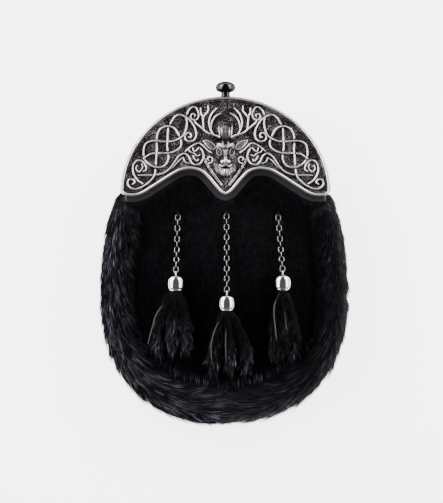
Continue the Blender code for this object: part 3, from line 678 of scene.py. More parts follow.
@dataclass(frozen=True)
class AntiquePewter:
    """Cast pewter, bright where it is polished and dark where the patina stays; on the rim its polish
    also holds painted highlight and painted shade.
    """

    bright: Colour = (0.93, 0.865, 0.872)
    dark: Colour = (0.009, 0.007, 0.007)
    bright_roughness: float = 0.36
    dark_roughness: float = 0.6
    pebble: float = 1.2  # pitch of the ground's pebbles
    pebble_polish: float = 0.2

    def material(self) -> Material:
        """Return the material; it reads the mesh's wear and ground attributes."""
        shader = Shader("antique_pewter")
        wear = shader.attribute("wear")
        mottle = shader.noise(0.7, 4.0)
        cloud = shader.noise(6.0, 2.0)
        pebble = shader.between(shader.cells(self.pebble, dimensions="2D"), 0.1, 0.46, 1.0, 0.0)
        pebble = shader.product(pebble, shader.attribute("ground"))
        worn = shader.math("ADD", wear, shader.between(mottle, 0.3, 0.7, -0.14, 0.14),
                           shader.between(cloud, 0.3, 0.7, -0.1, 0.1),
                           shader.product(pebble, self.pebble_polish))
        worn = shader.between(worn, 0.0, 1.0)
        shader.set(Base_Color=shader.mix(worn, self.dark, self.bright),
                   Metallic=shader.between(worn, 0.0, 0.45, 0.9, 1.0),
                   Roughness=shader.between(worn, 0.0, 1.0, self.dark_roughness, self.bright_roughness))
        grain = shader.bump(shader.noise(0.35, 3.0), 0.05, 0.5)
        shader.set(Normal=shader.bump(pebble, 0.3, 0.8, grain))
        return shader.material


@dataclass(frozen=True)
class PolishedMetal:
    """Smooth metal with faint wipe marks, dark where it is seen edge-on."""

    name: str
    colour: Colour
    roughness: float
    wear: float = 0.05

    def material(self) -> Material:
        """Return the material."""
        shader = Shader(self.name)
        marks = shader.noise(2.5, 5.0, 0.6, shader.stretch((1.0, 0.25, 1.0)))
        spots = shader.noise(0.6, 3.0)
        rough = shader.between(marks, 0.35, 0.75, self.roughness, self.roughness + self.wear)
        tint = shader.between(spots, 0.3, 0.8, 0.0, 0.12)
        dimmed = tuple(0.8 * part for part in self.colour)
        shader.set(Base_Color=shader.mix(tint, self.colour, dimmed), Metallic=1.0,
                   Roughness=rough, Normal=shader.bump(spots, 0.01, 0.25),
                   Specular_Tint=(0.0, 0.0, 0.0, 1.0))
        return shader.material


@dataclass(frozen=True)
class Leather:
    """Grained leather, paler between its creases."""

    name: str
    colour: Colour
    roughness: float = 0.5
    grain: float = 0.9
    specular: float = 0.3

    def material(self) -> Material:
        """Return the material."""
        shader = Shader(self.name)
        cells = shader.cells(self.grain, feature="DISTANCE_TO_EDGE")
        creases = shader.between(cells, 0.0, 0.12)
        cloud = shader.noise(14.0, 3.0)
        lighter = tuple(min(1.0, 1.9 * part + 0.002) for part in self.colour)
        tone = shader.product(creases, shader.between(cloud, 0.3, 0.7, 0.3, 0.9))
        shader.set(Base_Color=shader.mix(tone, self.colour, lighter),
                   Roughness=shader.between(creases, 0.0, 1.0, self.roughness + 0.2, self.roughness))
        fine = shader.bump(shader.noise(0.3, 2.0), 0.04, 0.4)
        shader.set(Normal=shader.bump(creases, 0.12, 0.8, fine), Specular_IOR_Level=self.specular)
        return shader.material


@dataclass(frozen=True)
class PlainFinish:
    """A plain surface of one colour."""

    name: str
    colour: Colour
    roughness: float
    glow: float = 0.0  # light that shines through it from below
    glow_reach: float = 160.0  # mm from the middle to where the light begins to fade

    def material(self) -> Material:
        """Return the material."""
        shader = Shader(self.name)
        shader.set(Base_Color=(*self.colour, 1.0), Roughness=self.roughness)
        if self.glow:
            away = shader.add("VectorMath", {0: shader.place}, operation="LENGTH")
            shader.set(Emission_Color=(1.0, 1.0, 1.0, 1.0), Emission_Strength=shader.between(
                away.outputs["Value"], self.glow_reach * MM, 5.0 * self.glow_reach * MM, self.glow, 0.0))
        return shader.material


# ---- the studio ----
@dataclass
class PhotoCamera:
    """A camera straight above the pouch, framed as the photograph."""

    width_px: float = 443.0
    height_px: float = 503.0
    mm_per_px: float = 0.7048  # the cantle, 210 px wide, measures 148 mm
    centre_line_px: float = 225.5  # column of the pouch's centre line
    mid_length_px: float = 254.2  # row of the middle of its length
    distance: float = 1900.0
    plane_z: float = 22.0  # height of the plane that keeps the scale
    sensor: float = 36.0

    def build(self) -> Thing:
        """Make the camera and set it as the scene's."""
        data = bpy.data.cameras.new("photo_camera")
        data.sensor_fit = "HORIZONTAL"
        data.sensor_width = self.sensor
        data.lens = self.sensor * (self.distance - self.plane_z) / (self.width_px * self.mm_per_px)
        data.clip_start = 0.05
        data.clip_end = 20.0
        camera = add_to_scene("photo_camera", data)
        x = (0.5 * self.width_px - self.centre_line_px) * self.mm_per_px
        y = (self.mid_length_px - 0.5 * self.height_px) * self.mm_per_px
        camera.location = (x * MM, y * MM, self.distance * MM)
        bpy.context.scene.camera = camera
        return camera


@dataclass(frozen=True)
class Softbox:
    """One soft rectangular light."""

    name: str
    place: tuple[float, float, float]  # mm
    size: tuple[float, float]  # mm, across and along
    watts: float


@dataclass
class Studio:
    """Pale floor and soft light: a wide softbox and a small flash on each side."""

    floor_half: float = 3000.0
    floor_finish: PlainFinish = PlainFinish("light_table", (0.9, 0.9, 0.9), 0.85, 4.0)
    lights: tuple[Softbox, ...] = (
        Softbox("softbox_left", (-900.0, 350.0, 540.0), (720.0, 2300.0), 42.0),
        Softbox("softbox_right", (900.0, 350.0, 540.0), (720.0, 2300.0), 29.0),
        Softbox("flash_left", (-730.0, 820.0, 460.0), (150.0, 150.0), 6.5),
        Softbox("flash_right", (730.0, 820.0, 460.0), (150.0, 150.0), 6.0),
    )
    world_strength: float = 0.11

    def build(self) -> None:
        """Make the floor, the lights and the pale surroundings."""
        corners = np.column_stack([rectangle(self.floor_half, self.floor_half), np.zeros(4)])
        floor = make_object("studio_floor", corners, [(0, 1, 2, 3)], smooth=False)
        paint(floor, self.floor_finish.material())
        for box in self.lights:
            data = bpy.data.lights.new(box.name, "AREA")
            data.shape = "RECTANGLE"
            data.size, data.size_y = box.size[0] * MM, box.size[1] * MM
            data.energy = box.watts
            light = add_to_scene(box.name, data)
            light.location = Vector(box.place) * MM
            ahead = (Vector((0.0, 0.0, 0.02)) - light.location).normalized()
            across = ahead.cross(Vector((0.0, 1.0, 0.0))).normalized()
            up = across.cross(ahead)
            light.rotation_euler = Matrix((across, up, -ahead)).transposed().to_euler()
        world = bpy.data.worlds.new("pale_room")
        world.use_nodes = True
        background = world.node_tree.nodes["Background"]
        background.inputs["Color"].default_value = (1.0, 1.0, 1.0, 1.0)
        background.inputs["Strength"].default_value = self.world_strength
        bpy.context.scene.world = world


# ---- the pouch's form ----
@dataclass(frozen=True)
class PouchForm:
    """The shape that all the pieces share, from the same sizes as the frame's solids."""

    half_width: float = 76.0
    widest_y: float = -27.0
    bottom_y: float = -107.0
    roundness: float = 2.3
    top_half_width: float = 67.0
    top_rise: float = 62.0
    foot_y: float = 43.1  # foot of the cantle
    edge_z: float = 19.6  # outer face of the front leather at its edge
    dome_height: float = 10.0
    dome_half_width: float = 64.0
    dome_up: float = 62.0
    dome_down: float = 68.0
    fur_top_y: float = 36.5
    pile_full_y: float = -30.0
    pile_at_lip: float = 3.2
    pile_at_belly: float = 5.5
    lip_drop: float = 5.5  # from the middle of the cantle's rim to the lip's edge
    bowl_steps: int = 60
    flank_steps: int = 24

    def side(self, inset: float = 0.0, arch: int = 60, end_y: Optional[float] = None) -> Array:
        """Return the right half of the body's outline, from the bottom centre up.

        Args:
            inset: how far inside the outline the line runs.
            arch: how many places the line has round the top.
            end_y: height to stop at, instead of the top centre.

        Returns:
            The line's places.
        """
        a, b = self.half_width - inset, self.widest_y - self.bottom_y - inset
        power = 2.0 / self.roundness
        t = np.linspace(0.0, 0.5 * math.pi, self.bowl_steps + 1)
        t = t + 0.12 * np.sin(4.0 * t)  # even steps along the curve, also where it is flat
        bowl = np.stack([a * np.sin(t).clip(0) ** power,
                         self.widest_y - b * np.cos(t).clip(0) ** power], 1)
        u = np.arange(1, self.flank_steps + 1) / self.flank_steps
        flank = np.stack([a + (self.top_half_width - self.half_width) * u * u,
                          self.widest_y + (self.foot_y - self.widest_y) * u], 1)
        top_a, top_b = self.top_half_width - inset, self.top_rise - inset
        last = 0.5 * math.pi if end_y is None else math.asin(max(0.0, end_y - self.foot_y) / top_b)
        v = last * np.arange(1, arch + 1) / arch
        crown = np.stack([top_a * np.cos(v), self.foot_y + top_b * np.sin(v)], 1)
        return np.vstack([bowl, flank, crown])

    def outline(self, inset: float = 0.0, count: int = 260) -> Array:
        """Return the body's closed outline at even steps, anticlockwise."""
        right = self.side(inset)
        closed = np.vstack([right, right[-2::-1] * (-1.0, 1.0)])
        return resample(closed, count + 1)[:-1]

    def front_z(self, x: Array, y: Array) -> Array:
        """Return the height of the front leather's outer face at flat places."""
        up = np.asarray(y, float) - self.widest_y
        reach = np.where(up > 0.0, self.dome_up, self.dome_down)
        radius = ((np.abs(x) / self.dome_half_width) ** self.roundness
                  + (np.abs(up) / reach) ** self.roundness) ** (1.0 / self.roundness)
        return self.edge_z + self.dome_height * np.clip(1.0 - radius ** 2, 0, 1) ** 1.2

    def fur_z(self, x: Array, y: Array) -> Array:
        """Return the height of the short fur's surface at flat places."""
        fuller = smoothstep(self.fur_top_y, self.pile_full_y, y)
        pile = self.pile_at_lip + (self.pile_at_belly - self.pile_at_lip) * fuller
        return self.front_z(x, y) + pile

    def lip_line(self, drop: float) -> Array:
        """Return the right half of a line that runs below the cantle's rim."""
        middle = spline(Cantle().scallop, 0.6)
        line = middle + outward(middle) * drop
        line = line[line[:, 0] > 0.6]
        return np.vstack([[[0.0, middle[0, 1] - drop]], line])


def plate_from_outlines(name: str, outlines: Sequence[Array], low: float, high: float,
                        round_edge: float) -> Thing:
    """Make a flat plate with rounded edges.

    Args:
        name: the piece's name.
        outlines: closed outlines, the outer one and those of its holes.
        low, high: heights of its two faces.
        round_edge: radius of its edges.

    Returns:
        The plate.
    """
    curve = bpy.data.curves.new(name, "CURVE")
    curve.dimensions = "2D"
    curve.fill_mode = "BOTH"
    for outline in outlines:
        line = curve.splines.new("POLY")
        line.points.add(len(outline) - 1)
        flat = np.zeros((len(outline), 4))
        flat[:, :2] = outline * MM
        flat[:, 3] = 1.0
        line.points.foreach_set("co", flat.ravel())
        line.use_cyclic_u = True
    curve.extrude = (0.5 * (high - low) - round_edge) * MM
    curve.bevel_depth = round_edge * MM
    curve.bevel_resolution = 2
    curve.offset = -round_edge * MM
    mesh = baked(add_to_scene(name, curve), name)
    mesh.transform(Matrix.Translation((0.0, 0.0, 0.5 * (low + high) * MM)))
    return face_outward(add_to_scene(name, mesh))


def loft(name: str, sections: Array) -> Thing:
    """Make a closed body through sections, each a closed loop of places (x, y, z)."""
    count, size, _ = sections.shape
    faces = grid_faces(count, size, wrap=True).tolist()
    faces += [list(range(size)), list(range((count - 1) * size, count * size))]
    return face_outward(make_object(name, sections.reshape(-1, 3), faces))


def tube(name: str, line: Array, radius: float, sides: int) -> Thing:
    """Make a round wire with closed ends.

    Args:
        name: the piece's name.
        line: its middle line, a row (x, y, z) for each place.
        radius: its radius.
        sides: number of facets round it.

    Returns:
        The wire.
    """
    along = tangents(line)
    across = np.cross(along[0], (0.31, 0.62, 0.72))  # any direction beside the line
    sections = []
    angle = round_angles(sides)[:, None]
    for place, ahead in zip(line, along):
        across = unit(across - ahead * np.dot(across, ahead))
        other = np.cross(ahead, across)
        sections.append(place + radius * (np.cos(angle) * across + np.sin(angle) * other))
    return loft(name, np.array(sections))


def turned(name: str, profile: Array, centre: Sequence[float], sides: int) -> Thing:
    """Make a turned piece round an axis along +Y.

    Args:
        name: the piece's name.
        profile: radius and height of each ring; it starts and ends on the axis.
        centre: where the profile's height is zero.
        sides: number of facets round the axis.

    Returns:
        The piece.
    """
    angle = round_angles(sides)
    rings = profile[1:-1]
    x, z = rings[:, :1] * np.cos(angle), rings[:, :1] * np.sin(angle)
    y = np.broadcast_to(rings[:, 1:], x.shape)
    vertices = np.stack([x, y, z], -1).reshape(-1, 3)
    poles = np.array([(0.0, profile[0, 1], 0.0), (0.0, profile[-1, 1], 0.0)])
    faces = grid_faces(len(rings), sides, wrap=True).tolist()
    first, last = len(vertices), len(vertices) + 1
    final = (len(rings) - 1) * sides
    for j in range(sides):
        k = (j + 1) % sides
        faces += [(first, j, k), (final + j, last, final + k)]
    vertices = np.vstack([vertices, poles]) + np.asarray(centre, float)
    return face_outward(make_object(name, vertices, faces))


# ---- the cantle ----
@dataclass(frozen=True)
class Strand:
    """One raised strand of the knotwork on the right half; the left half mirrors it."""

    name: str
    half_width: float
    height: float
    points: Points
    grooved: bool = False
    taper: float = 0.0  # length over which each end thins out


KNOT = (
    Strand("leaf_knot", 0.72, 1.2, (
        (57.6, 67.2), (56.1, 68.4), (52.1, 70.6), (45.6, 71.0), (38.5, 71.4), (33.0, 74.0),
        (31.1, 77.6), (32.2, 82.1), (35.5, 87.9), (40.3, 90.0), (45.1, 88.5), (47.8, 84.6),
        (48.4, 79.1), (48.3, 73.0), (48.8, 66.5), (49.2, 60.0), (50.3, 54.9), (54.6, 49.9),
        (60.7, 46.4), (65.7, 46.1), (68.7, 48.9), (68.2, 52.0), (65.4, 52.6), (63.8, 50.6),
        (65.2, 49.3))),
    Strand("hook_knot", 0.71, 1.2, (
        (25.6, 82.4), (24.6, 82.0), (24.3, 83.9), (26.2, 85.4), (28.6, 83.3), (27.9, 80.3),
        (24.9, 79.2), (21.7, 80.8), (20.6, 85.1), (22.4, 90.4), (26.2, 95.2), (32.0, 98.0),
        (36.0, 96.1), (38.8, 91.7), (40.3, 88.1), (40.7, 82.1), (41.0, 76.1), (40.5, 71.0),
        (40.1, 67.5), (42.0, 63.1), (46.1, 61.1), (51.6, 62.0), (55.9, 65.2), (57.7, 70.5),
        (56.4, 77.1), (51.1, 79.7), (43.6, 79.2), (36.0, 79.7), (30.2, 83.0), (27.9, 87.6),
        (27.1, 92.2), (27.5, 95.4))),
    Strand("long_stem", 0.69, 1.05, (
        (61.2, 55.5), (55.6, 55.5), (49.6, 55.7), (44.1, 56.8), (39.5, 59.9), (36.0, 64.5),
        (33.0, 68.8), (29.2, 70.8), (26.2, 68.8), (23.9, 64.5), (21.7, 62.9), (17.9, 63.7),
        (15.5, 67.5), (15.9, 71.5), (17.9, 74.8)), taper=2.0),
    Strand("low_stem", 0.47, 0.85, (
        (41.5, 57.6), (36.5, 61.7), (33.0, 65.5), (30.2, 67.8)), taper=3.0),
    Strand("side_curl", 0.65, 1.1, (
        (58.4, 49.6), (62.2, 52.4), (64.9, 57.4), (64.9, 62.5), (61.9, 65.9), (58.4, 65.2),
        (56.1, 62.0), (56.0, 59.2), (57.6, 58.4))),
    Strand("side_leaf", 0.52, 0.95, (
        (58.9, 64.0), (58.4, 61.0), (60.7, 57.9), (62.9, 59.7), (62.4, 62.0), (61.4, 61.8)), taper=1.0),
    Strand("side_stem", 0.47, 0.95, ((60.7, 58.2), (60.3, 56.4), (61.4, 55.0))),
    Strand("cluster_top", 0.56, 1.0, (
        (28.6, 71.9), (24.9, 75.1), (21.4, 77.3), (18.4, 78.1), (15.4, 75.8), (12.3, 72.8),
        (9.8, 71.3)), taper=2.0),
    Strand("cluster_base", 0.47, 0.9, ((29.7, 67.8), (28.2, 64.7), (24.9, 64.0), (22.9, 64.7))),
    Strand("berry_upper", 0.52, 0.95, (
        (23.2, 75.3), (22.2, 72.3), (20.1, 73.3), (18.9, 75.1)), taper=1.0),
    Strand("berry_lower", 0.52, 0.95, (
        (22.9, 69.5), (21.7, 66.7), (19.9, 65.5), (18.9, 67.0)), taper=1.0),
    Strand("berry_middle", 0.52, 0.95, (
        (25.9, 74.0), (24.9, 72.0), (22.4, 71.0), (19.9, 69.0), (17.9, 70.0)), taper=1.0),
    Strand("chest_bar", 0.90, 1.15, ((15.2, 67.2), (11.3, 60.7), (7.3, 54.7), (3.0, 48.9)), grooved=True),
    Strand("cheek_curl", 0.56, 1.0, (
        (12.6, 64.0), (9.8, 64.5), (9.1, 67.0), (11.0, 68.4), (12.8, 67.0), (11.6, 65.9)), taper=1.0),
    Strand("short_bar", 0.43, 0.8, ((17.9, 62.5), (13.8, 62.5)), taper=1.0),
    Strand("top_curl", 0.60, 1.05, (
        (27.4, 97.7), (25.9, 101.1), (22.9, 103.6), (20.1, 102.0), (18.8, 98.2), (20.1, 94.9),
        (22.9, 94.3), (24.5, 96.4), (23.4, 98.6), (21.5, 98.0), (21.9, 96.4)), taper=1.5),
)
ANTLER = (
    Strand("beam", 0.82, 1.5, (
        (4.2, 82.4), (8.8, 84.1), (12.8, 85.4), (16.4, 88.4), (20.9, 92.2), (22.2, 94.8)), taper=3.0),
    Strand("outer_tine", 0.73, 1.4, (
        (15.4, 87.4), (15.8, 92.7), (16.1, 96.7), (17.4, 99.2), (17.5, 102.8)), taper=4.0),
    Strand("forked_tine", 0.69, 1.35, (
        (16.1, 95.9), (14.2, 98.2), (12.2, 101.0), (12.3, 104.2)), taper=4.0),
    Strand("inner_tine", 0.73, 1.4, (
        (8.6, 83.8), (10.8, 88.6), (11.6, 92.7), (10.8, 96.7), (8.9, 99.9), (6.1, 102.8)), taper=4.5),
    Strand("brow_tine", 0.69, 1.35, ((10.7, 87.4), (9.6, 92.7), (7.3, 96.7), (3.1, 99.3)), taper=4.5),
)


@dataclass(frozen=True)
class Mound:
    """One rounded form of the stag's head, mirrored where it is off the centre line."""

    name: str
    x: float
    y: float
    half_x: float
    half_y: float
    height: float
    fullness: float = 0.5  # below 1 stands up steeply, above 1 swells softly
    turn: float = 0.0  # degrees, anticlockwise on the right half
    raises: bool = True  # added on top of what is there, or at least this high


HEAD = (
    Mound("ruff", 0.0, 64.6, 8.7, 10.4, 1.3, raises=False),
    Mound("ruff_skirt", 0.0, 61.2, 6.6, 6.9, 2.0, 0.6, raises=False),
    Mound("forehead", 0.0, 84.6, 4.6, 6.6, 1.1, 0.6, raises=False),
    Mound("skull", 0.0, 75.6, 6.9, 4.6, 2.0, raises=False),
    Mound("face", 0.0, 70.6, 7.2, 7.4, 2.2, raises=False),
    Mound("muzzle", 0.0, 65.6, 4.2, 5.4, 3.0, raises=False),
    Mound("nose_bridge", 0.0, 69.6, 1.5, 5.2, 0.7, 0.9),
    Mound("brow", 2.7, 76.2, 3.0, 0.5, 0.62, 0.7, 40.0),
    Mound("brow_hollow", 0.0, 78.3, 1.9, 1.9, -1.0, 0.8),
    Mound("frown", 1.3, 73.2, 1.9, 0.4, 0.4, 0.7, 58.0),
    Mound("hollow_wing", 4.3, 79.2, 2.4, 1.3, -1.2, 0.8, 20.0),
    Mound("post_outer", 4.4, 86.0, 0.7, 5.0, 1.0, 0.6, -3.0),
    Mound("post_inner", 2.8, 86.4, 0.6, 4.2, 0.55, 0.6, -3.0),
    Mound("socket", 4.6, 71.9, 2.9, 3.7, -0.7, 0.9),
    Mound("eye_rim", 4.6, 71.9, 2.1, 2.9, 0.9, 0.6, -12.0),
    Mound("eye_pit", 4.6, 71.9, 1.4, 2.2, -1.2, 0.5, -12.0),
    Mound("eyeball", 4.6, 71.9, 0.75, 1.3, 0.6, 0.5, -12.0),
    Mound("nose", 0.0, 65.3, 2.0, 1.9, 0.5),
    Mound("nostril_wing", 2.5, 64.9, 1.4, 1.3, 0.9, 0.6),
    Mound("nostril", 1.4, 64.1, 0.75, 0.6, -1.0, 0.8),
    Mound("upper_lip", 3.2, 62.2, 2.5, 0.6, 0.8, 0.7, 36.0),
    Mound("mouth", 0.0, 60.8, 3.6, 0.95, -1.5, 0.7),
    Mound("chin", 0.0, 57.2, 2.8, 2.6, 0.6, 0.7),
)
EAR = Strand("ear", 0.36, 0.8, (
    (6.8, 74.6), (9.2, 73.7), (12.4, 75.4), (15.4, 79.8), (11.8, 79.5), (8.6, 77.6)))


@dataclass
class Cantle:
    """The cast top plate: rim, pebbled ground, knotwork and stag's head in one relief."""

    half_width: float = 74.0
    rise: float = 68.0
    foot_y: float = 43.1
    ground: float = 2.5  # the ground's height over the plate's back
    rim_height: float = 1.35
    rim_edge: float = 1.2  # from the rim's middle line to the outer edge
    corner_gap: float = 0.02  # between the last column and the corner's tip
    columns: int = 236  # evenly spaced, on each side of the centre
    corner_columns: int = 14  # closer and closer towards each corner
    rows: int = 168
    scallop: Points = (
        (0.0, 42.6), (2.7, 44.1), (5.3, 46.9), (10.3, 52.9), (15.4, 57.9), (20.4, 60.2),
        (26.4, 60.7), (33.0, 59.2), (40.5, 54.9), (50.6, 48.4), (59.1, 43.3), (64.7, 41.9), (69.7, 42.2))
    corner: Points = ((72.6, 42.3), (73.98, 44.0))
    crown_y: float = 74.0  # middle of the ruff's rays
    finish: AntiquePewter = AntiquePewter()

    def lower_line(self) -> Array:
        """Return the plate's lower edge on the right half, from the centre outwards."""
        middle = spline(self.scallop, 0.4)
        edge = middle + outward(middle) * self.rim_edge
        edge = edge[edge[:, 0] > 0.0]
        tip = (0.0, edge[0, 1] - 0.15)
        return np.vstack([tip, edge, spline([edge[-1], *self.corner], 0.3)])

    def upper_line(self) -> Array:
        """Return the plate's upper edge on the right half, from the centre outwards."""
        angle = np.linspace(0.5 * math.pi, 0.012, 400)
        return np.stack([self.half_width * np.cos(angle), self.foot_y + self.rise * np.sin(angle)], 1)

    def columns_x(self) -> Array:
        """Return the columns' places on the right half, closer towards the corner."""
        last = self.half_width * 0.985
        even = np.linspace(0.0, last, self.columns)
        t = np.linspace(0, 1, self.corner_columns + 1)[1:]
        rest = (self.half_width - self.corner_gap - last) * (1.0 - (1.0 - t) ** 1.7)
        return np.concatenate([even, last + rest])

    def right_grid(self) -> tuple[Array, Array]:
        """Return x and y of the right half's grid, a row for each height."""
        x = self.columns_x()
        low = np.interp(x, *self.lower_line().T)
        high = np.maximum(np.interp(x, *self.upper_line().T), low + 0.05)
        t = np.linspace(0, 1, self.rows)[:, None]
        return np.broadcast_to(x, (self.rows, len(x))).copy(), low + (high - low) * t

    def edge_distance(self, x: Array, y: Array) -> tuple[Array, Array]:
        """Return how far places lie inside the plate's outline, and inside its arch."""
        lower = nearest_on_line(x, y, resample(self.lower_line(), 260))[0]
        upper = nearest_on_line(x, y, resample(self.upper_line(), 260))[0]
        return np.minimum(lower, upper), upper

    def rim_profile(self, inside: Array) -> Array:
        """Return the rim's height over the ground, by the distance from the edge."""
        bead = self.rim_height * dome(inside, 1.1, 1.08, 0.42)
        line = 0.6 * dome(inside, 2.8, 0.36, 0.5)
        groove = -0.15 * bell(inside, 2.35, 0.2)
        return np.maximum(bead, np.maximum(line, groove))

    @staticmethod
    def crossings(lines: dict[str, Array]) -> dict[str, list[tuple[float, bool]]]:
        """Find where strands cross and let each strand pass over and under by turns.

        Args:
            lines: each strand's dense line.

        Returns:
            For each strand, the arc lengths of its crossings and whether it is on top.
        """
        found = [(first, second, places) for first, second in combinations_with_replacement(lines, 2)
                 for places in line_crossings(lines[first], lines[second], first == second)]
        events: dict[str, list[tuple[float, int]]] = {name: [] for name in lines}
        for number, (first, second, places) in enumerate(found):
            events[first].append((places[0], number))
            events[second].append((places[1], number))
        decided: dict[int, bool] = {}
        result: dict[str, list[tuple[float, bool]]] = {name: [] for name in lines}
        for name, crossed in events.items():
            is_over = True
            for along, number in sorted(crossed):
                is_over = not decided.get(number, not is_over)
                decided[number] = is_over
                result[name].append((along, is_over))
                is_over = not is_over
        return result

    @staticmethod
    def strand_height(strand: Strand, line: Array, x: Array, y: Array,
                      passes: Sequence[tuple[float, bool]]) -> Array:
        """Work out the relief of one strand.

        Args:
            strand: the strand.
            line: its dense middle line.
            x, y: flat places.
            passes: arc lengths of its crossings and whether it is on top.

        Returns:
            Its height over the ground at the places, or NOTHING beside it.
        """
        gap, along = nearest_on_line(x, y, line)
        total = arc_lengths(line)[-1]
        thin = np.ones_like(gap)
        if strand.taper:
            ends = np.minimum(along, total - along) if strand in KNOT else total - along
            thin = 0.45 + 0.55 * smoothstep(0.0, strand.taper, ends)
        half = strand.half_width * thin
        across = np.clip(gap / half, 0, 1)
        height = strand.height * (0.6 + 0.4 * thin) * (1.0 - across ** 2.4) ** 0.55
        if strand.grooved:
            height = height - 0.55 * strand.height * bell(gap, 0.0, 0.3 * half)
        for place, is_over in passes:
            height = height + (0.22 if is_over else -0.8) * bell(along, place, 1.35)
        return np.where(gap < half, height, NOTHING)

    def head_height(self, x: Array, y: Array, height: Array) -> tuple[Array, Array]:
        """Model the stag's head into the relief.

        Args:
            x, y: flat places.
            height: the relief without the head.

        Returns:
            The relief with the head, and how far each place belongs to the head.
        """
        result, head = height.copy(), np.zeros_like(height)
        for mound in HEAD:
            turn = math.radians(mound.turn)
            dx, dy = x - mound.x, y - mound.y
            u = (dx * math.cos(turn) + dy * math.sin(turn)) / mound.half_x
            v = (-dx * math.sin(turn) + dy * math.cos(turn)) / mound.half_y
            form = mound.height * np.clip(1.0 - u * u - v * v, 0, 1) ** mound.fullness
            if mound.raises:
                result = result + form
            else:
                result = np.where(form > 0.0, np.maximum(result, form), result)
                head = np.maximum(head, smoothstep(0.1, 0.5, form))
        return result + self.head_hair(x, y), head

    def head_hair(self, x: Array, y: Array) -> Array:
        """Return the fine grooves of hair in the ruff and on the forehead."""
        angle = np.arctan2(x, -(y - self.crown_y))
        reach = np.hypot(x, y - self.crown_y)
        in_ruff = smoothstep(7.0, 9.0, reach) * smoothstep(20.4, 19.0, reach)
        in_ruff = in_ruff * smoothstep(1.3, 1.0, np.abs(angle)) * smoothstep(70.0, 67.0, y)
        off_muzzle = smoothstep(0.85, 1.1, (x / 4.4) ** 2 + ((y - 65.6) / 5.6) ** 2)
        ruff = 0.08 * (np.sin(31.0 * angle + 0.9 * reach) + np.sin(53.0 * angle - 0.4 * reach))
        brow = smoothstep(2.4, 1.8, np.abs(x)) * smoothstep(79.5, 81.0, y) * smoothstep(91.0, 89.5, y)
        return ruff * in_ruff * off_muzzle + 0.08 * np.sin(7.5 * x) * brow

    @staticmethod
    def ear_height(x: Array, y: Array) -> Array:
        """Return the ear: a raised leaf-shaped edge round a ribbed hollow."""
        line = spline((*EAR.points, EAR.points[0]), 0.3)
        gap, _ = nearest_on_line(x, y, line)
        rim = EAR.height * dome(gap, 0.0, EAR.half_width, 0.5)
        hollow = 0.45 + 0.14 * np.sin(5.2 * (y - 0.35 * x))
        outside = np.where(gap < EAR.half_width, rim, NOTHING)
        return np.where(points_inside(x, y, line), np.maximum(rim, hollow), outside)

    def relief(self, x: Array, y: Array) -> tuple[Array, ...]:
        """Work out the whole relief of the right half.

        Args:
            x, y: flat places.

        Returns:
            The height over the ground, and how far each place is bare ground, rim and head; the rim's
            share is its polish with painted highlight, less where painted shade lies at the arch's outer
            edge and round the knob.
        """
        inside, under_arch = self.edge_distance(x, y)
        cut = bell(under_arch, 0.95, 0.3)  # a fine line along the arch
        rim = self.rim_profile(inside) - 0.3 * cut
        lines = {strand.name: spline(strand.points, 0.45) for strand in (*KNOT, *ANTLER)}
        passes = self.crossings({s.name: lines[s.name] for s in KNOT})
        ear = self.ear_height(x, y)
        raised = np.maximum(ear, 0.0)
        for strand in (*KNOT, *ANTLER):
            form = self.strand_height(strand, lines[strand.name], x, y, passes.get(strand.name, ()))
            raised = np.maximum(raised, form)
        figure, head = self.head_height(x, y, raised)
        height = np.maximum(figure, np.where(inside < 3.2, rim, NOTHING))
        bare = smoothstep(0.3, 0.05, figure) * smoothstep(2.9, 3.3, inside)
        # the rim's polish, which also serves as a painted highlight on a bead that catches little light;
        # darker along the fine cut line
        bright = smoothstep(2.2, 1.8, inside) * (1.0 - 0.5 * cut)
        # painted shade on the outer flank of the arch
        bright = bright * (1.0 - 0.5 * smoothstep(0.7, 0.1, under_arch))
        crown = bell(x, 0.0, 24.0) * smoothstep(3.0, 2.0, under_arch)
        bright = bright * (1.0 - 0.4 * crown)  # painted shade on the arch round the knob
        return height, bare, bright, np.maximum(head, smoothstep(0.0, 0.3, ear))

    @staticmethod
    def wear_of(height: Array, y: Array, head: Array) -> Array:
        """Work out the polish: bright on tops, dark in the ground and beside the strands.

        Args:
            height: the relief.
            y: the grid's places up the plate.
            head: where the head is, whose polish is greyer and softer.

        Returns:
            The polish from 0 to 1.
        """
        fine = height - softened(height, 2)
        broad = height - softened(height, 6)
        strands = 0.02 + 0.2 * smoothstep(1.0, 2.0, height) + 1.0 * fine + 0.4 * broad
        on_head = 0.22 + 0.09 * smoothstep(65.0, 60.0, y) + 0.5 * fine + 0.3 * broad
        return smoothstep(0, 1, strands + (on_head - strands) * head)

    def build(self) -> Thing:
        """Make the cantle as one closed mesh that replaces the plain node."""
        x, y = self.right_grid()
        height, bare, rim, head = self.relief(x, y)
        # the rim's polish, with its painted highlight and painted shade, sets the least wear there
        wear = np.maximum(self.wear_of(height, y, head), 0.95 * rim)
        x, y, height, wear, bare = (np.hstack([sign * grid[:, :0:-1], grid]) for grid, sign in (
            (x, -1.0), (y, 1.0), (height, 1.0), (wear, 1.0), (bare, 1.0)))
        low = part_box("cantle")[0].z / MM
        rows, columns = x.shape
        top = np.stack([x, y, low + self.ground + height], -1).reshape(-1, 3)
        back = np.stack([x[[0, -1]], y[[0, -1]], np.full((2, columns), low)], -1).reshape(-1, 3)
        faces = split_along_ridges(grid_faces(rows, columns), height.ravel()).tolist()
        cantle = make_object("cantle_relief", np.vstack([top, back]),
                             faces + back_and_sides(rows, columns))
        store(cantle, "wear", np.concatenate([wear.ravel(), np.full(2 * columns, 0.25)]))
        store(cantle, "ground", np.concatenate([bare.ravel(), np.zeros(2 * columns)]))
        return finish_piece(cantle, self.finish.material(), Slot.PEWTER, "cantle")


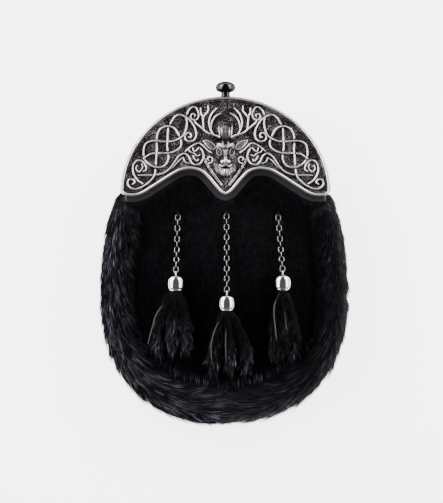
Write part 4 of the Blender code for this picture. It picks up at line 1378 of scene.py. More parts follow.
def back_and_sides(rows: int, columns: int) -> list[list[int]]:
    """Close a relief's grid by a flat back.

    Args:
        rows, columns: the size of the grid; the back's two rows of vertices follow it.

    Returns:
        Vertex numbers of the faces of the back and round the edge.
    """
    faces = []
    first, last = rows * columns, rows * columns + columns
    for j in range(columns - 1):
        upper = (rows - 1) * columns + j
        faces.append([first + j, first + j + 1, j + 1, j])
        faces.append([upper, upper + 1, last + j + 1, last + j])
        faces.append([last + j, last + j + 1, first + j + 1, first + j])
    for j, order in ((0, -1), (columns - 1, 1)):
        side = [first + j, *range(j, rows * columns, columns), last + j]
        faces.append(side[::order])
    return faces


def split_along_ridges(quads: Array, height: Array) -> Array:
    """Split quads into triangles along the diagonal whose ends differ least in height."""
    a, b, c, d = height[quads].T
    is_first = (np.abs(a - c) <= np.abs(b - d))[:, None]
    return np.vstack([np.where(is_first, quads[:, [0, 1, 2]], quads[:, [0, 1, 3]]),
                      np.where(is_first, quads[:, [0, 2, 3]], quads[:, [1, 2, 3]])])


def softened(relief: Array, reach: int) -> Array:
    """Return a relief's grid smoothed three times over reach cells to each side."""
    size = 2 * reach + 1
    for axis in (0, 1, 0, 1, 0, 1):
        pad = [(0, 0), (0, 0)]
        pad[axis] = (reach + 1, reach)
        total = np.cumsum(np.pad(relief, pad, mode="edge" if axis else "constant"), axis=axis)
        relief = (np.take(total, range(size, total.shape[axis]), axis)
                  - np.take(total, range(total.shape[axis] - size), axis)) / size
    return relief


def line_crossings(first: Array, second: Array, is_same: bool) -> list[tuple[float, float]]:
    """Find where two flat lines cross.

    Args:
        first, second: the lines' places.
        is_same: whether they are one line, whose neighbouring pieces only touch.

    Returns:
        The arc lengths along both lines at each crossing.
    """
    along_a, along_b = np.diff(first, axis=0)[:, None], np.diff(second, axis=0)
    gap = second[:-1] - first[:-1, None]
    cross = flat_cross(along_a, along_b)
    cross = np.where(np.abs(cross) < 1e-9, 1e-9, cross)
    t, u = flat_cross(gap, along_b) / cross, flat_cross(gap, along_a) / cross
    a, b = arc_lengths(first), arc_lengths(second)
    return [(a[i] + t[i, j] * (a[i + 1] - a[i]), b[j] + u[i, j] * (b[j + 1] - b[j]))
            for i, j in np.argwhere((t >= 0) & (t < 1) & (u >= 0) & (u < 1)) if not is_same or j > i + 2]


def flat_cross(a: Array, b: Array) -> Array:
    """Return the cross product of flat vectors."""
    return a[..., 0] * b[..., 1] - a[..., 1] * b[..., 0]


def points_inside(x: Array, y: Array, outline: Array) -> Array:
    """Return which places lie inside a closed outline."""
    inside = np.zeros(x.shape, bool)
    for (ax, ay), (bx, by) in zip(outline, np.roll(outline, -1, axis=0)):
        if ay != by:
            inside ^= ((ay > y) != (by > y)) & (x < (bx - ax) * (y - ay) / (by - ay) + ax)
    return inside


# ---- knob, chains and caps ----
@dataclass
class Knob:
    """The turned finial above the cantle."""

    seat_y: float = 111.4
    axis_z: float = 25.05
    sides: int = 72
    finish: PolishedMetal = PolishedMetal("dark_chrome", (0.055, 0.052, 0.052), 0.12, 0.06)
    cap: Points = (
        (0.0, 10.2), (1.8, 10.05), (3.6, 9.6), (5.3, 8.7), (6.4, 7.5), (6.9, 6.2),
        (6.85, 5.0), (6.3, 3.9), (5.4, 3.1), (4.2, 2.6), (3.4, 2.5))
    collar: Points = (
        (3.15, 2.5), (3.18, 1.9), (3.15, 1.62), (3.04, 1.5), (2.96, 1.32), (2.96, 1.02),
        (3.04, 0.86), (3.15, 0.74), (3.18, 0.2), (3.1, -0.31))

    def build(self) -> Thing:
        """Turn the knob."""
        profile = np.vstack([spline(self.cap, 0.35), spline(self.collar, 0.15), [(0.0, -0.31)]])
        knob = turned("knob_turned", profile, (0.0, self.seat_y, self.axis_z), self.sides)
        sharpen(knob, 50.0)
        return finish_piece(knob, self.finish.material(), Slot.DARK_CHROME, "knob")


@dataclass(frozen=True)
class Drop:
    """Where one tassel hangs: its staple, its cap and the links between them."""

    name: str
    staple: tuple[float, float]
    cap: tuple[float, float]
    links: int
    spread: tuple[float, float]  # how far the hair fans to the left and right
    length: float  # from the ball's centre to the hair's tips
    shine: float  # how far the painted sheen shows on the tassel's hair
    thongs: tuple[Points, ...]  # lines of the thin leather thongs in the hair
    lift: float = 6.7  # of the ball's centre over the fur

    def centre(self, form: PouchForm) -> Array:
        """Return the centre of the ball cap."""
        x, y = self.cap
        return np.array((x, y, float(form.fur_z(x, y)) + self.lift))


DROPS = (
    Drop("left", (-33.5, 27.6), (-34.7, -20.7), 11, (12.0, 7.5), 53.9, 1.0, (
        ((-47.6, -40.7), (-51.0, -50.4), (-54.5, -63.0)),)),
    Drop("centre", (0.7, 28.2), (0.9, -34.4), 15, (9.0, 13.5), 55.0, 0.8, (
        ((-6.4, -50.4), (-9.4, -59.5), (-10.2, -67.0), (-9.2, -77.1)),
        ((0.4, -50.4), (0.1, -61.9), (0.6, -76.6)))),
    Drop("right", (37.0, 27.6), (40.0, -20.3), 11, (5.0, 7.5), 57.8, 0.4, (
        ((34.1, -36.3), (34.9, -52.9), (35.9, -60.2)), ((40.7, -34.3), (42.4, -50.4), (43.4, -56.5)))),
)


@dataclass
class ChainedDrop:
    """The metal of one tassel: staple, chain and ball cap."""

    drop: Drop
    form: PouchForm
    wire: float = 0.35
    link_half_width: float = 1.62
    link_overlap: float = 0.22
    chain_lift: float = 2.5  # of the chain's middle over the fur
    cap_radius: float = 6.3
    cap_cut: float = 4.9  # from the ball's centre to its flat bottom
    bore: float = 3.3
    squareness: float = 2.6  # 2 is a round ball, more has straighter sides
    eye_height: float = 2.6
    eye_drop: float = 0.95
    eye_half_span: float = 1.5
    eye_wire: float = 0.5
    staple_wire: float = 0.4
    staple_shift: float = 0.64
    plate_half: tuple[float, float] = (2.2, 3.0)
    plate_thickness: float = 0.8
    silver: PolishedMetal = PolishedMetal("polished_silver", (0.75, 0.74, 0.74), 0.07, 0.04)
    steel: PolishedMetal = PolishedMetal("chain_silver", (0.22, 0.215, 0.215), 0.16, 0.12)
    blackened: PolishedMetal = PolishedMetal("blackened_steel", (0.012, 0.012, 0.013), 0.5, 0.1)

    def path(self) -> Array:
        """Return the chain's middle line: on the fur, then up to the ball's eye."""
        t = np.linspace(0, 1, 81)
        end = self.drop.cap[1] + self.cap_radius + self.eye_height - self.eye_drop
        x = self.drop.staple[0] + (self.drop.cap[0] - self.drop.staple[0]) * t
        y = self.drop.staple[1] + (end - self.drop.staple[1]) * t
        flat = self.form.fur_z(x, y) + self.chain_lift
        rise = smoothstep(0.55, 1.0, t)
        return np.stack([x, y, flat + (self.drop.centre(self.form)[2] - flat) * rise], 1)

    def build_chain(self) -> Thing:
        """Make the links, every second one turned edge-on."""
        line = resample(self.path(), 2 * self.drop.links + 1)
        half_pitch = float(np.mean(np.linalg.norm(np.diff(line, axis=0), axis=1)))
        length = 2.0 * (half_pitch - 0.5 * self.link_overlap + self.wire)
        points = make_object("links", line[1::2], [])
        store(points, "along", tangents(line)[1::2])
        steel = self.steel.material()
        chain = chain_recipe().grow(points, "links_" + self.drop.name, steel, Length=length * MM,
                                    Width=2.0 * self.link_half_width * MM, Wire=self.wire * MM)
        return finish_piece(chain, steel, Slot.SILVER, "chain_" + self.drop.name)

    @staticmethod
    def wire_loop(foot: Array, up: Array, across: Array, height: float, half_span: float,
                  wire: float) -> Thing:
        """Make a U of wire: two legs that rise from the foot and a half circle.

        Args:
            foot: place between the feet of the two legs.
            up, across: unit directions along the legs and from leg to leg.
            height: from the feet to the middle of the wire at the top.
            half_span: half the distance between the legs.
            wire: radius of the wire.

        Returns:
            The loop.
        """
        shoulder = height - half_span
        angle = np.linspace(0.0, math.pi, 25)[:, None]
        legs = np.linspace(0, 1, 4)[:-1, None] * shoulder
        bend = foot + up * (shoulder + half_span * np.sin(angle)) - across * half_span * np.cos(angle)
        line = np.vstack([foot - across * half_span + up * legs, bend,
                          foot + across * half_span + up * legs[::-1]])
        return tube("loop", line, wire, 14)

    def build_cap(self) -> Thing:
        """Turn the ball with its rim line, and set the wire eye in its top."""
        r, cut = self.cap_radius, self.cap_cut
        last = math.acos(-cut / (1.07 * r))  # angle from the top to the flat bottom
        rim = last - 0.19
        angle = np.concatenate([np.linspace(0.0, rim - 0.07, 30),
                                rim + np.array((-0.045, -0.02, 0.0, 0.02, 0.045)),
                                np.linspace(rim + 0.075, last - 0.03, 6)])
        across, down = np.sin(angle), np.cos(angle)
        radius = r - 0.22 * np.exp(-((angle - rim) / 0.03) ** 2)
        radius *= (across ** self.squareness + np.abs(down) ** self.squareness) ** (
            -1.0 / self.squareness)
        ball = np.stack([radius * across, np.maximum(radius * down, -cut)], 1)
        bore = self.bore
        inner = np.array([(ball[-1, 0] - 0.25, -cut), (bore + 0.25, -cut), (bore, -cut + 0.25),
                          (bore, 0.3), (bore - 0.5, 0.9), (0.0, 1.2)])
        centre = self.drop.centre(self.form)
        cap = turned("ball", np.vstack([ball, inner]), centre, 72)
        sink = 1.2  # of the eye's feet into the ball
        eye = self.wire_loop(centre + (0.0, r - sink, 0.0), AHEAD, UPWARD,
                             self.eye_height + sink, self.eye_half_span, self.eye_wire)
        cap = joined("ball_cap_" + self.drop.name, [cap, eye])
        sharpen(cap, 40.0)
        return finish_piece(cap, self.silver.material(), Slot.SILVER, "tassel_cap_" + self.drop.name)

    def build_staple(self) -> Thing:
        """Make the wire staple that holds the first link, on its small plate."""
        x, y = self.drop.staple
        node = "chain_staple_" + self.drop.name
        low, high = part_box(node)
        base = low.z / MM
        outline = rounded_corners(rectangle(*self.plate_half, (x, y)), 0.8)
        plate = plate_from_outlines("plate", [outline], base, base + self.plate_thickness, 0.2)
        foot = np.array((x, y + self.staple_shift, base + 0.5 * self.plate_thickness))
        height = high.z / MM - self.staple_wire - foot[2]
        loop = self.wire_loop(foot, UPWARD, AHEAD, height, self.eye_half_span, self.staple_wire)
        staple = joined("wire_staple_" + self.drop.name, [plate, loop])
        return finish_piece(staple, self.blackened.material(), Slot.SILVER, node)

    def build(self) -> list[Thing]:
        """Make the staple, the chain and the cap."""
        return [self.build_staple(), self.build_chain(), self.build_cap()]


# ---- leather ----
@dataclass
class LeatherBody:
    """The pouch itself: back board, gusset, domed front and the board under the cantle."""

    form: PouchForm
    back_thickness: float = 3.0
    wall: float = 2.0
    gap: float = 0.3  # between the back board and the gusset
    front_sides: int = 180
    front_rings: int = 28
    front_bevel: float = 0.45
    gusset_top: float = 17.3
    gusset_end_y: float = 52.0
    slot_x: float = 43.5
    slot_y: float = 67.0
    slot_half: tuple[float, float] = (2.5, 12.0)
    board_low: float = 19.9
    board_high: float = 22.9
    board_inset: float = 1.5
    board_end_x: float = 70.5
    seam_inset: float = 4.5
    stitch_pitch: float = 3.6
    thread_proud: float = 0.25  # the stitches stand on the table, the board just clears it
    thread_sunk: float = 0.18  # of a stitch's middle into the board
    hide: Leather = Leather("back_leather", (0.014, 0.0133, 0.014), 0.6, 1.3, 0.14)
    lip: Leather = Leather("lip_leather", (0.008, 0.0075, 0.0095), 0.4, 0.8, 0.3)
    thread: PlainFinish = PlainFinish("waxed_thread", (0.03, 0.029, 0.03), 0.5)

    def build_back(self) -> Thing:
        """Make the flat back board with its two strap slots."""
        slots = [rounded_corners(rectangle(*self.slot_half, (x, self.slot_y)), 1.6)
                 for x in (-self.slot_x, self.slot_x)]
        back = plate_from_outlines("back_board", [self.form.outline(), *slots],
                                   self.thread_proud, self.back_thickness, 0.6)
        return finish_piece(back, self.hide.material(), Slot.BACK_LEATHER, "back_panel")

    def build_gusset(self) -> Thing:
        """Make the wall between back and front, with rounded edges."""
        outer = resample(both_sides(self.form.side(end_y=self.gusset_end_y, arch=8)), 260)
        low, high = self.back_thickness + self.gap, self.gusset_top
        corners = np.array([(0.0, low), (0.0, high), (-self.wall, high), (-self.wall, low)])
        out, height = rounded_corners(corners, 0.5, 3).T
        gusset = loft("gusset_wall", np.array([
            np.column_stack([place + normal * out[:, None], height])
            for place, normal in zip(outer, outward(outer))]))
        sharpen(gusset, 50.0)
        return finish_piece(gusset, self.hide.material(), Slot.BACK_LEATHER, "gusset")

    def build_front(self) -> Thing:
        """Make the domed front leather, ring by ring from its edge to its middle."""
        outline, inset = (self.form.outline(edge, self.front_sides) for edge in (0.0, 0.35))
        middle = np.array((0.0, self.form.widest_y))
        rings = []
        for share in np.linspace(1.0, 0.02, self.front_rings) ** 0.8:
            flat = middle + (outline - middle) * share
            rings.append(np.column_stack([flat, self.form.front_z(*flat.T)]))
        rings = np.array(rings)
        under = rings[::-1] - (0.0, 0.0, self.wall)
        edge = np.column_stack([inset, np.full(len(inset), self.form.edge_z)])[None]
        rings[0, :, 2] -= self.front_bevel
        under[-1, :, 2] += self.front_bevel
        front = loft("front_leather", np.vstack([
            under[:-1], edge - (0.0, 0.0, self.wall), under[-1:], rings[:1], edge, rings[1:]]))
        return finish_piece(front, self.hide.material(), Slot.BACK_LEATHER, "front_panel")

    def build_lip(self) -> Thing:
        """Make the board that carries the cantle, its lip showing below the rim."""
        lower = self.form.lip_line(self.form.lip_drop)
        lower = lower[lower[:, 0] < self.board_end_x - 0.8]
        a, b = Cantle().half_width - self.board_inset, Cantle().rise - self.board_inset
        t = np.linspace(math.acos(self.board_end_x / a), 0.5 * math.pi, 90)
        upper = np.stack([a * np.cos(t), self.form.foot_y + b * np.sin(t)], 1)
        corner = (self.board_end_x, lower[-1, 1]) + np.array([(-0.25, 0.35), (0.0, 1.1)])
        right = np.vstack([lower, corner, upper])
        outline = np.vstack([right, right[-2:0:-1] * (-1.0, 1.0)])
        board = plate_from_outlines("lip_board", [outline], self.board_low, self.board_high, 1.1)
        return finish_piece(board, self.lip.material(), Slot.LIP_LEATHER, "cantle_backing")

    def build_seam(self) -> Thing:
        """Make the saddle stitches round the outside of the back."""
        seam = both_sides(self.form.side(self.seam_inset))
        count = int(arc_lengths(seam)[-1] / self.stitch_pitch)
        line = resample(seam, count + 1)[:-1]
        height = np.full(count, self.thread_proud + self.thread_sunk)
        points = make_object("seam", np.column_stack([line, height]), [])
        ahead = unit(np.roll(line, -1, 0) - np.roll(line, 1, 0))
        store(points, "along", np.column_stack([ahead, np.zeros(count)]))
        store(points, "up", np.tile((0.0, 0.0, -1.0), (count, 1)))
        thread = self.thread.material()
        stitches = stitch_recipe().grow(points, "back_stitches", thread)
        return finish_piece(stitches, thread, Slot.BACK_LEATHER)

    def build(self) -> list[Thing]:
        """Make all the leather and its seam."""
        return [self.build_back(), self.build_gusset(), self.build_front(), self.build_lip(),
                self.build_seam()]


# ---- fur ----
@dataclass(frozen=True)
class FurFinish:
    """Black hair with a painted sheen of grey: each lock and each hair a little greyer or darker than its
    neighbour.
    """

    name: str
    dark: Colour = (0.0016, 0.0014, 0.003)
    # pale: the colour of the painted sheen on the black hair
    pale: Colour = (0.3, 0.29, 0.37)
    painted_sheen_share: float = 0.5  # how many of the hairs and locks carry the painted sheen
    roughness: float = 0.42
    specular: float = 0.22

    def material(self) -> Material:
        """Return the material of the hairs; it reads their tone, lock, along and pale, which spread its
        painted sheen.
        """
        shader = Shader(self.name)
        hair = shader.between(shader.attribute("tone"), 1.0 - self.painted_sheen_share, 1.0)
        lock = shader.between(shader.attribute("lock"), 0.4, 0.95, 0.45, 1.0)
        tip = shader.between(shader.attribute("along"), 0.1, 0.8, 0.25, 1.0)
        cloud = shader.between(shader.noise(16.0, 2.0), 0.35, 0.65, 0.45, 1.0)
        # painted sheen: grey mixed in by hair, lock, tip and cloud, where the mesh's pale attribute lets
        # it show
        share = shader.product(hair, lock, tip, cloud, shader.attribute("pale"))
        shader.set(Base_Color=shader.mix(share, self.dark, self.pale),
                   Roughness=shader.between(shader.attribute("tone"), 0.0, 1.0,
                                            self.roughness - 0.08, self.roughness + 0.12),
                   Specular_IOR_Level=self.specular)
        return shader.material


@dataclass(frozen=True)
class PeltSkin:
    """The dark skin and underhair between the roots."""

    name: str = "underfur"
    colour: Colour = (0.0025, 0.0025, 0.003)

    def material(self) -> Material:
        """Return the material."""
        shader = Shader(self.name)
        strands = shader.noise(0.8, 4.0, 0.6, shader.stretch((1.0, 0.12, 0.5)))
        paler = tuple(2.5 * part for part in self.colour)
        shader.set(Base_Color=shader.mix(strands, self.colour, paler), Roughness=0.8,
                   Normal=shader.bump(strands, 0.4, 0.7), Specular_IOR_Level=0.1)
        return shader.material


@dataclass
class Scalp:
    """The hidden surface that hair grows on, and the hair's ways at each of its places."""

    places: Array  # grid of places (rows, columns, 3)
    comb: Array  # direction of the hair
    reach: Array  # its length
    lift: Array  # how far its tip stands up
    pale: Array  # how far the painted sheen on the hairs shows, from 0

    def part(self, rows: slice, columns: slice = slice(None)) -> "Scalp":
        """Return a part of the grid."""
        return Scalp(*(grid[rows, columns] for grid in (
            self.places, self.comb, self.reach, self.lift, self.pale)))

    def build(self) -> Thing:
        """Make the mesh, its faces outward."""
        rows, columns, _ = self.places.shape
        scalp = make_object("scalp", self.places.reshape(-1, 3), grid_faces(rows, columns))
        store(scalp, "comb", self.comb.reshape(-1, 3))
        store(scalp, "reach", self.reach.ravel() * MM)
        store(scalp, "lift", self.lift.ravel())
        store(scalp, "pale", self.pale.ravel())
        return scalp


@dataclass(frozen=True)
class Coat:
    """How the hair of one pelt grows."""

    hairs: int
    width: float
    clump_size: float
    clump: float  # how closely a lock's tips meet
    waviness: float
    stray: float
    segments: int
    seed: int
    wave_size: float = 3.0

    def grow(self, scalp: Thing, name: str, hair: FurFinish, slot: Slot = Slot.FUR,
             share: float = 1.0) -> Thing:
        """Grow the hair on a scalp and remove the scalp.

        Args:
            scalp: mesh with comb, reach, lift and pale on its vertices.
            name: the piece's name.
            hair: finish of the hair.
            slot: the record's slot of the hair.
            share: the part of the coat's hairs that stands on this scalp.

        Returns:
            The finished piece.
        """
        area = sum(face.area for face in scalp.data.polygons)
        material = hair.material()
        grown = hair_recipe(name + "_growth", self.segments, self.wave_size).grow(
            scalp, name, material, Density=share * self.hairs / area, Width=self.width * MM,
            Clump_Size=self.clump_size * MM, Clump=self.clump, Waviness=self.waviness * MM,
            Stray=self.stray, Seed=self.seed)
        return finish_piece(grown, material, slot)

    def grow_halves(self, left: Scalp, right: Scalp, name: str, hair: FurFinish) -> list[Thing]:
        """Grow half of the hair on each of two scalps, the left and the right one."""
        return [self.grow(scalp.build(), name + side, hair, share=0.5)
                for side, scalp in (("_left", left), ("_right", right))]


@dataclass
class FrontPelt:
    """The short, dark nap on the front, its lower edge a fringe over the long border."""

    form: PouchForm
    half_width: float = 65.4
    top_half_width: float = 68.6
    bottom_y: float = -96.0
    lip_gap: float = 0.35
    seat: float = 0.6  # of the skin's underside over the leather
    skin_rise: float = 0.55  # the skin's part of the pile's height
    columns: int = 74
    rows: int = 52
    fringe_row: int = 3  # the first of the grid's rows that hair grows on
    coat: Coat = Coat(17000, 0.34, 1.2, 0.35, 0.3, 0.3, 2, 11)
    hair: FurFinish = FurFinish("short_fur", specular=0.06)
    skin: PeltSkin = PeltSkin()

    def flat_grid(self) -> tuple[Array, Array]:
        """Return x and y of the pelt's grid: rows from the bottom up, columns from the left."""
        form = self.form
        across = np.sin(np.linspace(-0.5, 0.5, self.columns) * math.pi)[None, :]
        bottom = form.widest_y - (form.widest_y - self.bottom_y) * (
            1.0 - np.abs(across) ** form.roundness).clip(0.0) ** (1.0 / form.roundness)
        lip = form.lip_line(form.lip_drop)
        top = np.interp(np.abs(across) * self.top_half_width, *lip.T) - self.lip_gap
        y = bottom + (top - bottom) * np.linspace(0, 1, self.rows)[:, None]
        rise = np.clip((y - form.widest_y) / (form.fur_top_y - form.widest_y), 0, 1)
        width = self.half_width + (self.top_half_width - self.half_width) * rise ** 2
        return across * width, y

    def skin_z(self, x: Array, y: Array) -> Array:
        """Return the skin's height, low round the staples."""
        leather = self.form.front_z(x, y)
        height = (self.form.fur_z(x, y) - leather) * self.skin_rise
        for drop in DROPS:
            near = np.hypot((x - drop.staple[0]) / 3.4, (y - drop.staple[1]) / 4.4)
            height = np.minimum(height, self.seat + 0.15 + 6.0 * np.clip(near - 1.0, 0, 1))
        return leather + height

    def build_skin(self) -> Thing:
        """Make the closed skin under the hair."""
        x, y = self.flat_grid()
        top = np.stack([x, y, self.skin_z(x, y)], -1)
        low = np.stack([x, y, self.form.front_z(x, y) + self.seat], -1)
        skin = loft("front_pelt", np.concatenate([top, low[::-1]], 0).transpose(1, 0, 2))
        return finish_piece(skin, self.skin.material(), Slot.FUR, "fur_front")

    def build_hair(self) -> list[Thing]:
        """Grow the nap in two halves, combed down over the curve of the leather."""
        x, y = self.flat_grid()
        fan, ahead = 0.12 * x / self.half_width, 2.0
        slope = (self.form.front_z(x + ahead * fan, y - ahead) - self.form.front_z(x, y)) / ahead
        comb = unit(np.stack([fan, -np.ones_like(x), slope], -1))
        down = np.linspace(1.0, 0.0, self.rows)[:, None] * np.ones_like(x)
        fringe = smoothstep(0.86, 0.92, down)
        reach = 5.2 + 1.2 * smoothstep(0.2, 0.7, down) - 0.8 * smoothstep(0.86, 1.0, down)
        reach = reach + 1.5 * fringe
        lift = 0.22 + 0.4 * fringe - 0.08 * smoothstep(0.06, 0.0, down)
        # painted sheen: hardly any on the nap, a band of it along the fringe
        pale = 0.03 + 2.2 * smoothstep(0.912, 0.945, down)
        scalp = Scalp(np.stack([x, y, self.skin_z(x, y)], -1), comb, reach, lift, pale)
        hairy, middle = slice(self.fringe_row, None), self.columns // 2
        return self.coat.grow_halves(scalp.part(hairy, slice(0, middle + 1)),
                                     scalp.part(hairy, slice(middle, None)), "front_nap", self.hair)

    def build(self) -> list[Thing]:
        """Make the pelt's skin and hair."""
        return [self.build_skin(), *self.build_hair()]


@dataclass
class LongBorder:
    """The roll of long fur round the sides and the bottom, swept to the bottom centre."""

    form: PouchForm
    inner: float = 9.7
    reach_side: float = 12.0
    reach_bottom: float = 12.4
    hair_proud: float = 3.4  # how far the hair stands out from the skin
    low_z: float = 3.3
    top_z: float = 25.1
    shoulder_z: float = 18.9  # the roll's top where it slips in under the cantle's corner
    end_y: float = 46.5
    lean: float = 0.9  # how much farther the hair stands out on the left
    stations: int = 190
    inner_low: float = 1.5  # how much farther in the roll reaches at the bottom
    hairy: tuple[int, int] = (1, 10)  # first and last point of the section that hair grows on
    crest: float = 0.62  # where the hair parts on that part, from inside to outside
    coat: Coat = Coat(29000, 0.32, 0.95, 0.2, 0.7, 0.6, 2, 23)
    hair: FurFinish = FurFinish("long_fur", (0.0034, 0.0032, 0.0052), (0.6, 0.585, 0.72), 0.27,
                                specular=0.1)
    skin: PeltSkin = PeltSkin()

    def path(self) -> Array:
        """Return the body's outline from the left end round the bottom to the right end."""
        right = self.form.side(end_y=self.end_y + 1.0, arch=6)
        right = right[right[:, 1] < self.end_y]
        return resample(both_sides(right), self.stations)

    def section_rows(self, x: float, y: float) -> Array:
        """Work out the skin's section at one place of the outline.

        Args:
            x, y: the place.

        Returns:
            For each point of the section, how far out of the outline and how high it lies.
        """
        form = self.form
        up = np.clip((y - form.bottom_y) / (form.widest_y - form.bottom_y), 0, 1)
        ease = smoothstep(28.0, 39.0, y)  # the shoulder, where the roll slips in
        reach = self.reach_bottom + (self.reach_side - self.reach_bottom) * up
        reach = reach - 0.8 * smoothstep(5.0, 38.0, y) - self.hair_proud
        reach = reach - (ease + 4.0 * smoothstep(42.5, 46.5, y)) - self.lean * math.tanh(x / 20.0)
        top = self.top_z + (self.shoulder_z - self.top_z) * ease
        inner = -self.inner + 1.0 + (self.inner - 1.6) * smoothstep(33.2, 34.6, y)
        inner -= self.inner_low * bell(x, 0.0, 35.0) * (y < 0.0)
        base = min(form.edge_z + 0.5, top - 0.6)
        return np.array([
            (inner, base), (inner, top - 2.0), (inner + 1.2, top - 0.6),
            (0.2 * reach + 0.3 * inner, top), (0.42 * reach, top - 0.9),
            (0.72 * reach, 0.8 * top), (0.93 * reach, 0.62 * top), (reach, 0.42 * top),
            (0.94 * reach, 0.28 * top), (0.6 * reach + 0.2, self.low_z + 0.4),
            (0.5 * reach, self.low_z), (0.6, self.low_z),
            (0.6, 0.6 * base if inner > -1.0 else base - 0.4)])

    def sections(self) -> tuple[Array, Array]:
        """Return the roll's sections in space, and the path they stand on."""
        path = self.path()
        rings = []
        for place, normal in zip(path, outward(path)):
            rows = self.section_rows(*place)
            rings.append(np.column_stack([place + normal * rows[:, :1], rows[:, 1]]))
        return np.array(rings), path

    def build_skin(self) -> Thing:
        """Make the closed skin under the hair."""
        skin = loft("border_pelt", self.sections()[0])
        return finish_piece(skin, self.skin.material(), Slot.FUR, "fur_border")

    def combed(self, coat: Array, path: Array, turn: Array, keep: Array) -> Array:
        """Work out the hair's direction: along the roll, and across it by an angle.

        Args:
            coat: grid of places that hair grows on.
            path: the path that the roll stands on.
            turn: angle across the roll at each place.
            keep: how much of the way along is kept.

        Returns:
            The unit directions.
        """
        step = np.linalg.norm(np.gradient(path, axis=0), axis=1)[:, None]
        rise = np.gradient(coat[..., 2], axis=0) / step
        along = np.repeat(tangents(path)[:, None], coat.shape[1], 1)
        forward = unit(np.dstack([along, rise]))
        forward = np.where(path[:, :1, None] < 0.0, forward, -forward)  # to the bottom centre
        across = unit(np.gradient(coat, axis=1)) * (1.0, 1.0, 0.55)
        return unit(forward * keep * np.cos(turn)[..., None] + across * np.sin(turn)[..., None])

    def build_hair(self) -> list[Thing]:
        """Grow the long hair: along the roll to the bottom centre, and a little outward."""
        rings, path = self.sections()
        coat = rings[:, slice(*self.hairy)]
        x, y = path[:, :1], path[:, 1:]
        centre = bell(x, 0.0, 5.0) * (y < 0.0)
        shoulder, bottom = smoothstep(20.0, 36.0, y), smoothstep(10.0, -90.0, y)
        rows = np.linspace(0, 1, coat.shape[1])[None, :] * np.ones_like(x)
        crest = bell(rows, self.crest, 0.16)
        turn = -0.75 + 0.2 * shoulder + 1.5 * rows + 0.5 * centre
        comb = self.combed(coat, path, turn, (1.0 - 0.7 * centre)[..., None])
        reach = 11.5 + 3.0 * bottom - 4.0 * smoothstep(0.6, 1.0, rows) - 1.5 * shoulder
        reach = reach - 4.0 * (bell(x, 0.0, 10.0) * (y < 0.0)) - 2.5 * crest
        # painted sheen, most over the middle rows and at the bottom; painted shade takes it off the outer
        # rows and off the right half, where less light falls; less towards the top and at the bottom
        # centre
        pale = 0.08 + (0.76 + 0.34 * bottom) * smoothstep(0.08, 0.4, rows)
        pale = (pale - 0.95 * smoothstep(0.5, 0.82, rows)) * (1.0 - 0.6 * np.tanh(x / 20.0))
        pale = pale * (1.0 - 0.5 * smoothstep(5.0, 40.0, y) - 0.5 * centre)
        lift = 0.2 + 0.28 * crest - 0.1 * smoothstep(0.25, 0.0, rows)
        scalp = Scalp(coat, comb, reach, lift, pale)
        middle = int(np.argmin(y))
        return self.coat.grow_halves(scalp.part(slice(0, middle + 1)),
                                     scalp.part(slice(middle, None)), "border_fur", self.hair)

    def build(self) -> list[Thing]:
        """Make the roll's skin and hair."""
        return [self.build_skin(), *self.build_hair()]


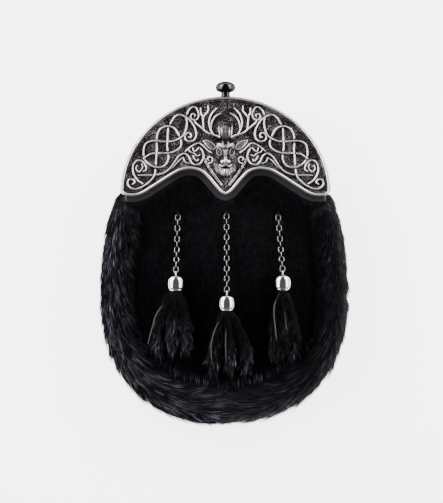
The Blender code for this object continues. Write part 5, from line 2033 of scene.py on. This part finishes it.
@dataclass
class HairTassel:
    """The hair under one ball cap: soft locks that fan out over the nap, and two thongs."""

    drop: Drop
    form: PouchForm
    locks: int = 3
    head_radius: float = 2.7
    mouth_drop: float = 3.0  # from the ball's centre to where the locks come out
    hair_reach: float = 8.5
    thickness: tuple[float, ...] = (2.4, 2.8, 3.7, 3.5, 1.6)  # of a lock, from cap to tip
    flatness: float = 0.7  # a lock's height by its width
    thong_radius: float = 0.26
    coat: Coat = Coat(4400, 0.29, 0.7, 0.14, 1.7, 1.2, 3, 37, 1.6)
    hair: FurFinish = FurFinish("tassel_hair", pale=(0.52, 0.5, 0.6), painted_sheen_share=0.28, specular=0.12)
    thong: PlainFinish = PlainFinish("thong_leather", (0.09, 0.088, 0.092), 0.55)
    skin: PeltSkin = PeltSkin("tassel_core")

    def lock_line(self, spread: float, length: float, height: float) -> Array:
        """Return a lock's middle line, by its tip's spread to the right and its length."""
        x, y, axis_z = self.drop.centre(self.form)
        t = np.linspace(0, 1, 15)
        down = y - self.mouth_drop - length * t
        out = x + spread * (1.0 - (1.0 - t) ** 2.2)
        lying = self.form.fur_z(out, down) + height
        z = axis_z + (lying - axis_z) * smoothstep(0.0, 0.6, t)
        return np.stack([out, down, np.maximum(z, lying)], 1)

    def lock_surface(self, line: Array, sides: int) -> Array:
        """Return rings round a lock's line; its section is wider than it is high."""
        t = np.linspace(0, 1, len(line))
        radius = np.interp(t, np.linspace(0, 1, len(self.thickness)), self.thickness)
        along = tangents(line)
        side = unit(np.cross(along, UPWARD))
        up = np.cross(side, along)
        angle = round_angles(sides)[None, :, None]
        return line[:, None] + radius[:, None, None] * (
            np.cos(angle) * side[:, None] + self.flatness * np.sin(angle) * up[:, None])

    def lines(self) -> list[Array]:
        """Return the locks' middle lines from left to right, every second one higher."""
        left, right = self.drop.spread
        full = self.drop.length - self.mouth_drop - 0.9 - 0.8 * self.hair_reach
        return [self.lock_line(-left + (left + right) * i / (self.locks - 1),
                               full * (1.0 - 0.05 * (i % 2)), 2.3 + 1.2 * (i % 2))
                for i in range(self.locks)]

    def build_thongs(self) -> Thing:
        """Make the thin thongs that hang from the ball among the hair."""
        x, y = self.drop.cap
        cords = []
        for thong in self.drop.thongs:
            line = spline(((x, y - self.mouth_drop), *thong), 1.0)
            t = arc_lengths(line) / arc_lengths(line)[-1]
            z = self.form.fur_z(*line.T) + self.drop.lift + 1.6 * np.sin(2.4 * t) - 2.0 * t
            cords.append(tube("thong", np.column_stack([line, z]), self.thong_radius, 8))
        thongs = joined("thongs_" + self.drop.name, cords)
        return finish_piece(thongs, self.thong.material(), Slot.TASSEL_HAIR)

    def lock_scalp(self, line: Array) -> Thing:
        """Make the scalp round a lock's line, its hair combed along the line."""
        rings = self.lock_surface(line, 9)
        closed = np.concatenate([rings, rings[:, :1]], 1)
        along = np.repeat(tangents(line)[:, None], closed.shape[1], 1)
        t = np.linspace(0, 1, len(line))[:, None] * np.ones(closed.shape[1])
        # painted sheen towards the lock's tips, scaled by the drop's shine
        pale = 1.2 * self.drop.shine * smoothstep(0.25, 0.85, t)
        scalp = Scalp(closed, along, self.hair_reach * (0.8 + 0.2 * t), 0.1 + 0.1 * t, pale)
        return scalp.part(slice(None, 0, -1)).build()

    def build(self) -> list[Thing]:
        """Make the tassel's core, its hair and its thongs."""
        name, lines = self.drop.name, self.lines()
        cores = [loft("core", self.lock_surface(line, 7) * 0.999 + line.mean(0) * 0.001)
                 for line in lines]
        profile = np.array([(0.0, 0.1), (self.head_radius, 0.0), (self.head_radius, -5.2), (0.0, -6.4)])
        head = turned("head", profile, self.drop.centre(self.form), 20)
        core = joined("tassel_core_" + name, [head, *cores])
        scalps = joined("scalps", [self.lock_scalp(line) for line in lines])
        return [finish_piece(core, self.skin.material(), Slot.TASSEL_HAIR, "tassel_" + name),
                self.coat.grow(scalps, "tassel_hair_" + name, self.hair, Slot.TASSEL_HAIR),
                self.build_thongs()]


def main() -> None:
    """Build the pouch piece by piece and report each one."""
    logging.basicConfig(level=logging.INFO, format="%(message)s")
    form = PouchForm()
    PhotoCamera().build()
    Studio().build()
    pieces = [Cantle().build(), Knob().build()]
    pieces += LeatherBody(form).build()
    pieces += FrontPelt(form).build()
    pieces += LongBorder(form).build()
    for drop in DROPS:
        pieces += ChainedDrop(drop, form).build()
        pieces += HairTassel(drop, form).build()
    for piece in pieces:
        LOG.info("%s: %d faces", piece.name, len(piece.data.polygons))


if __name__ == "__main__":
    main()
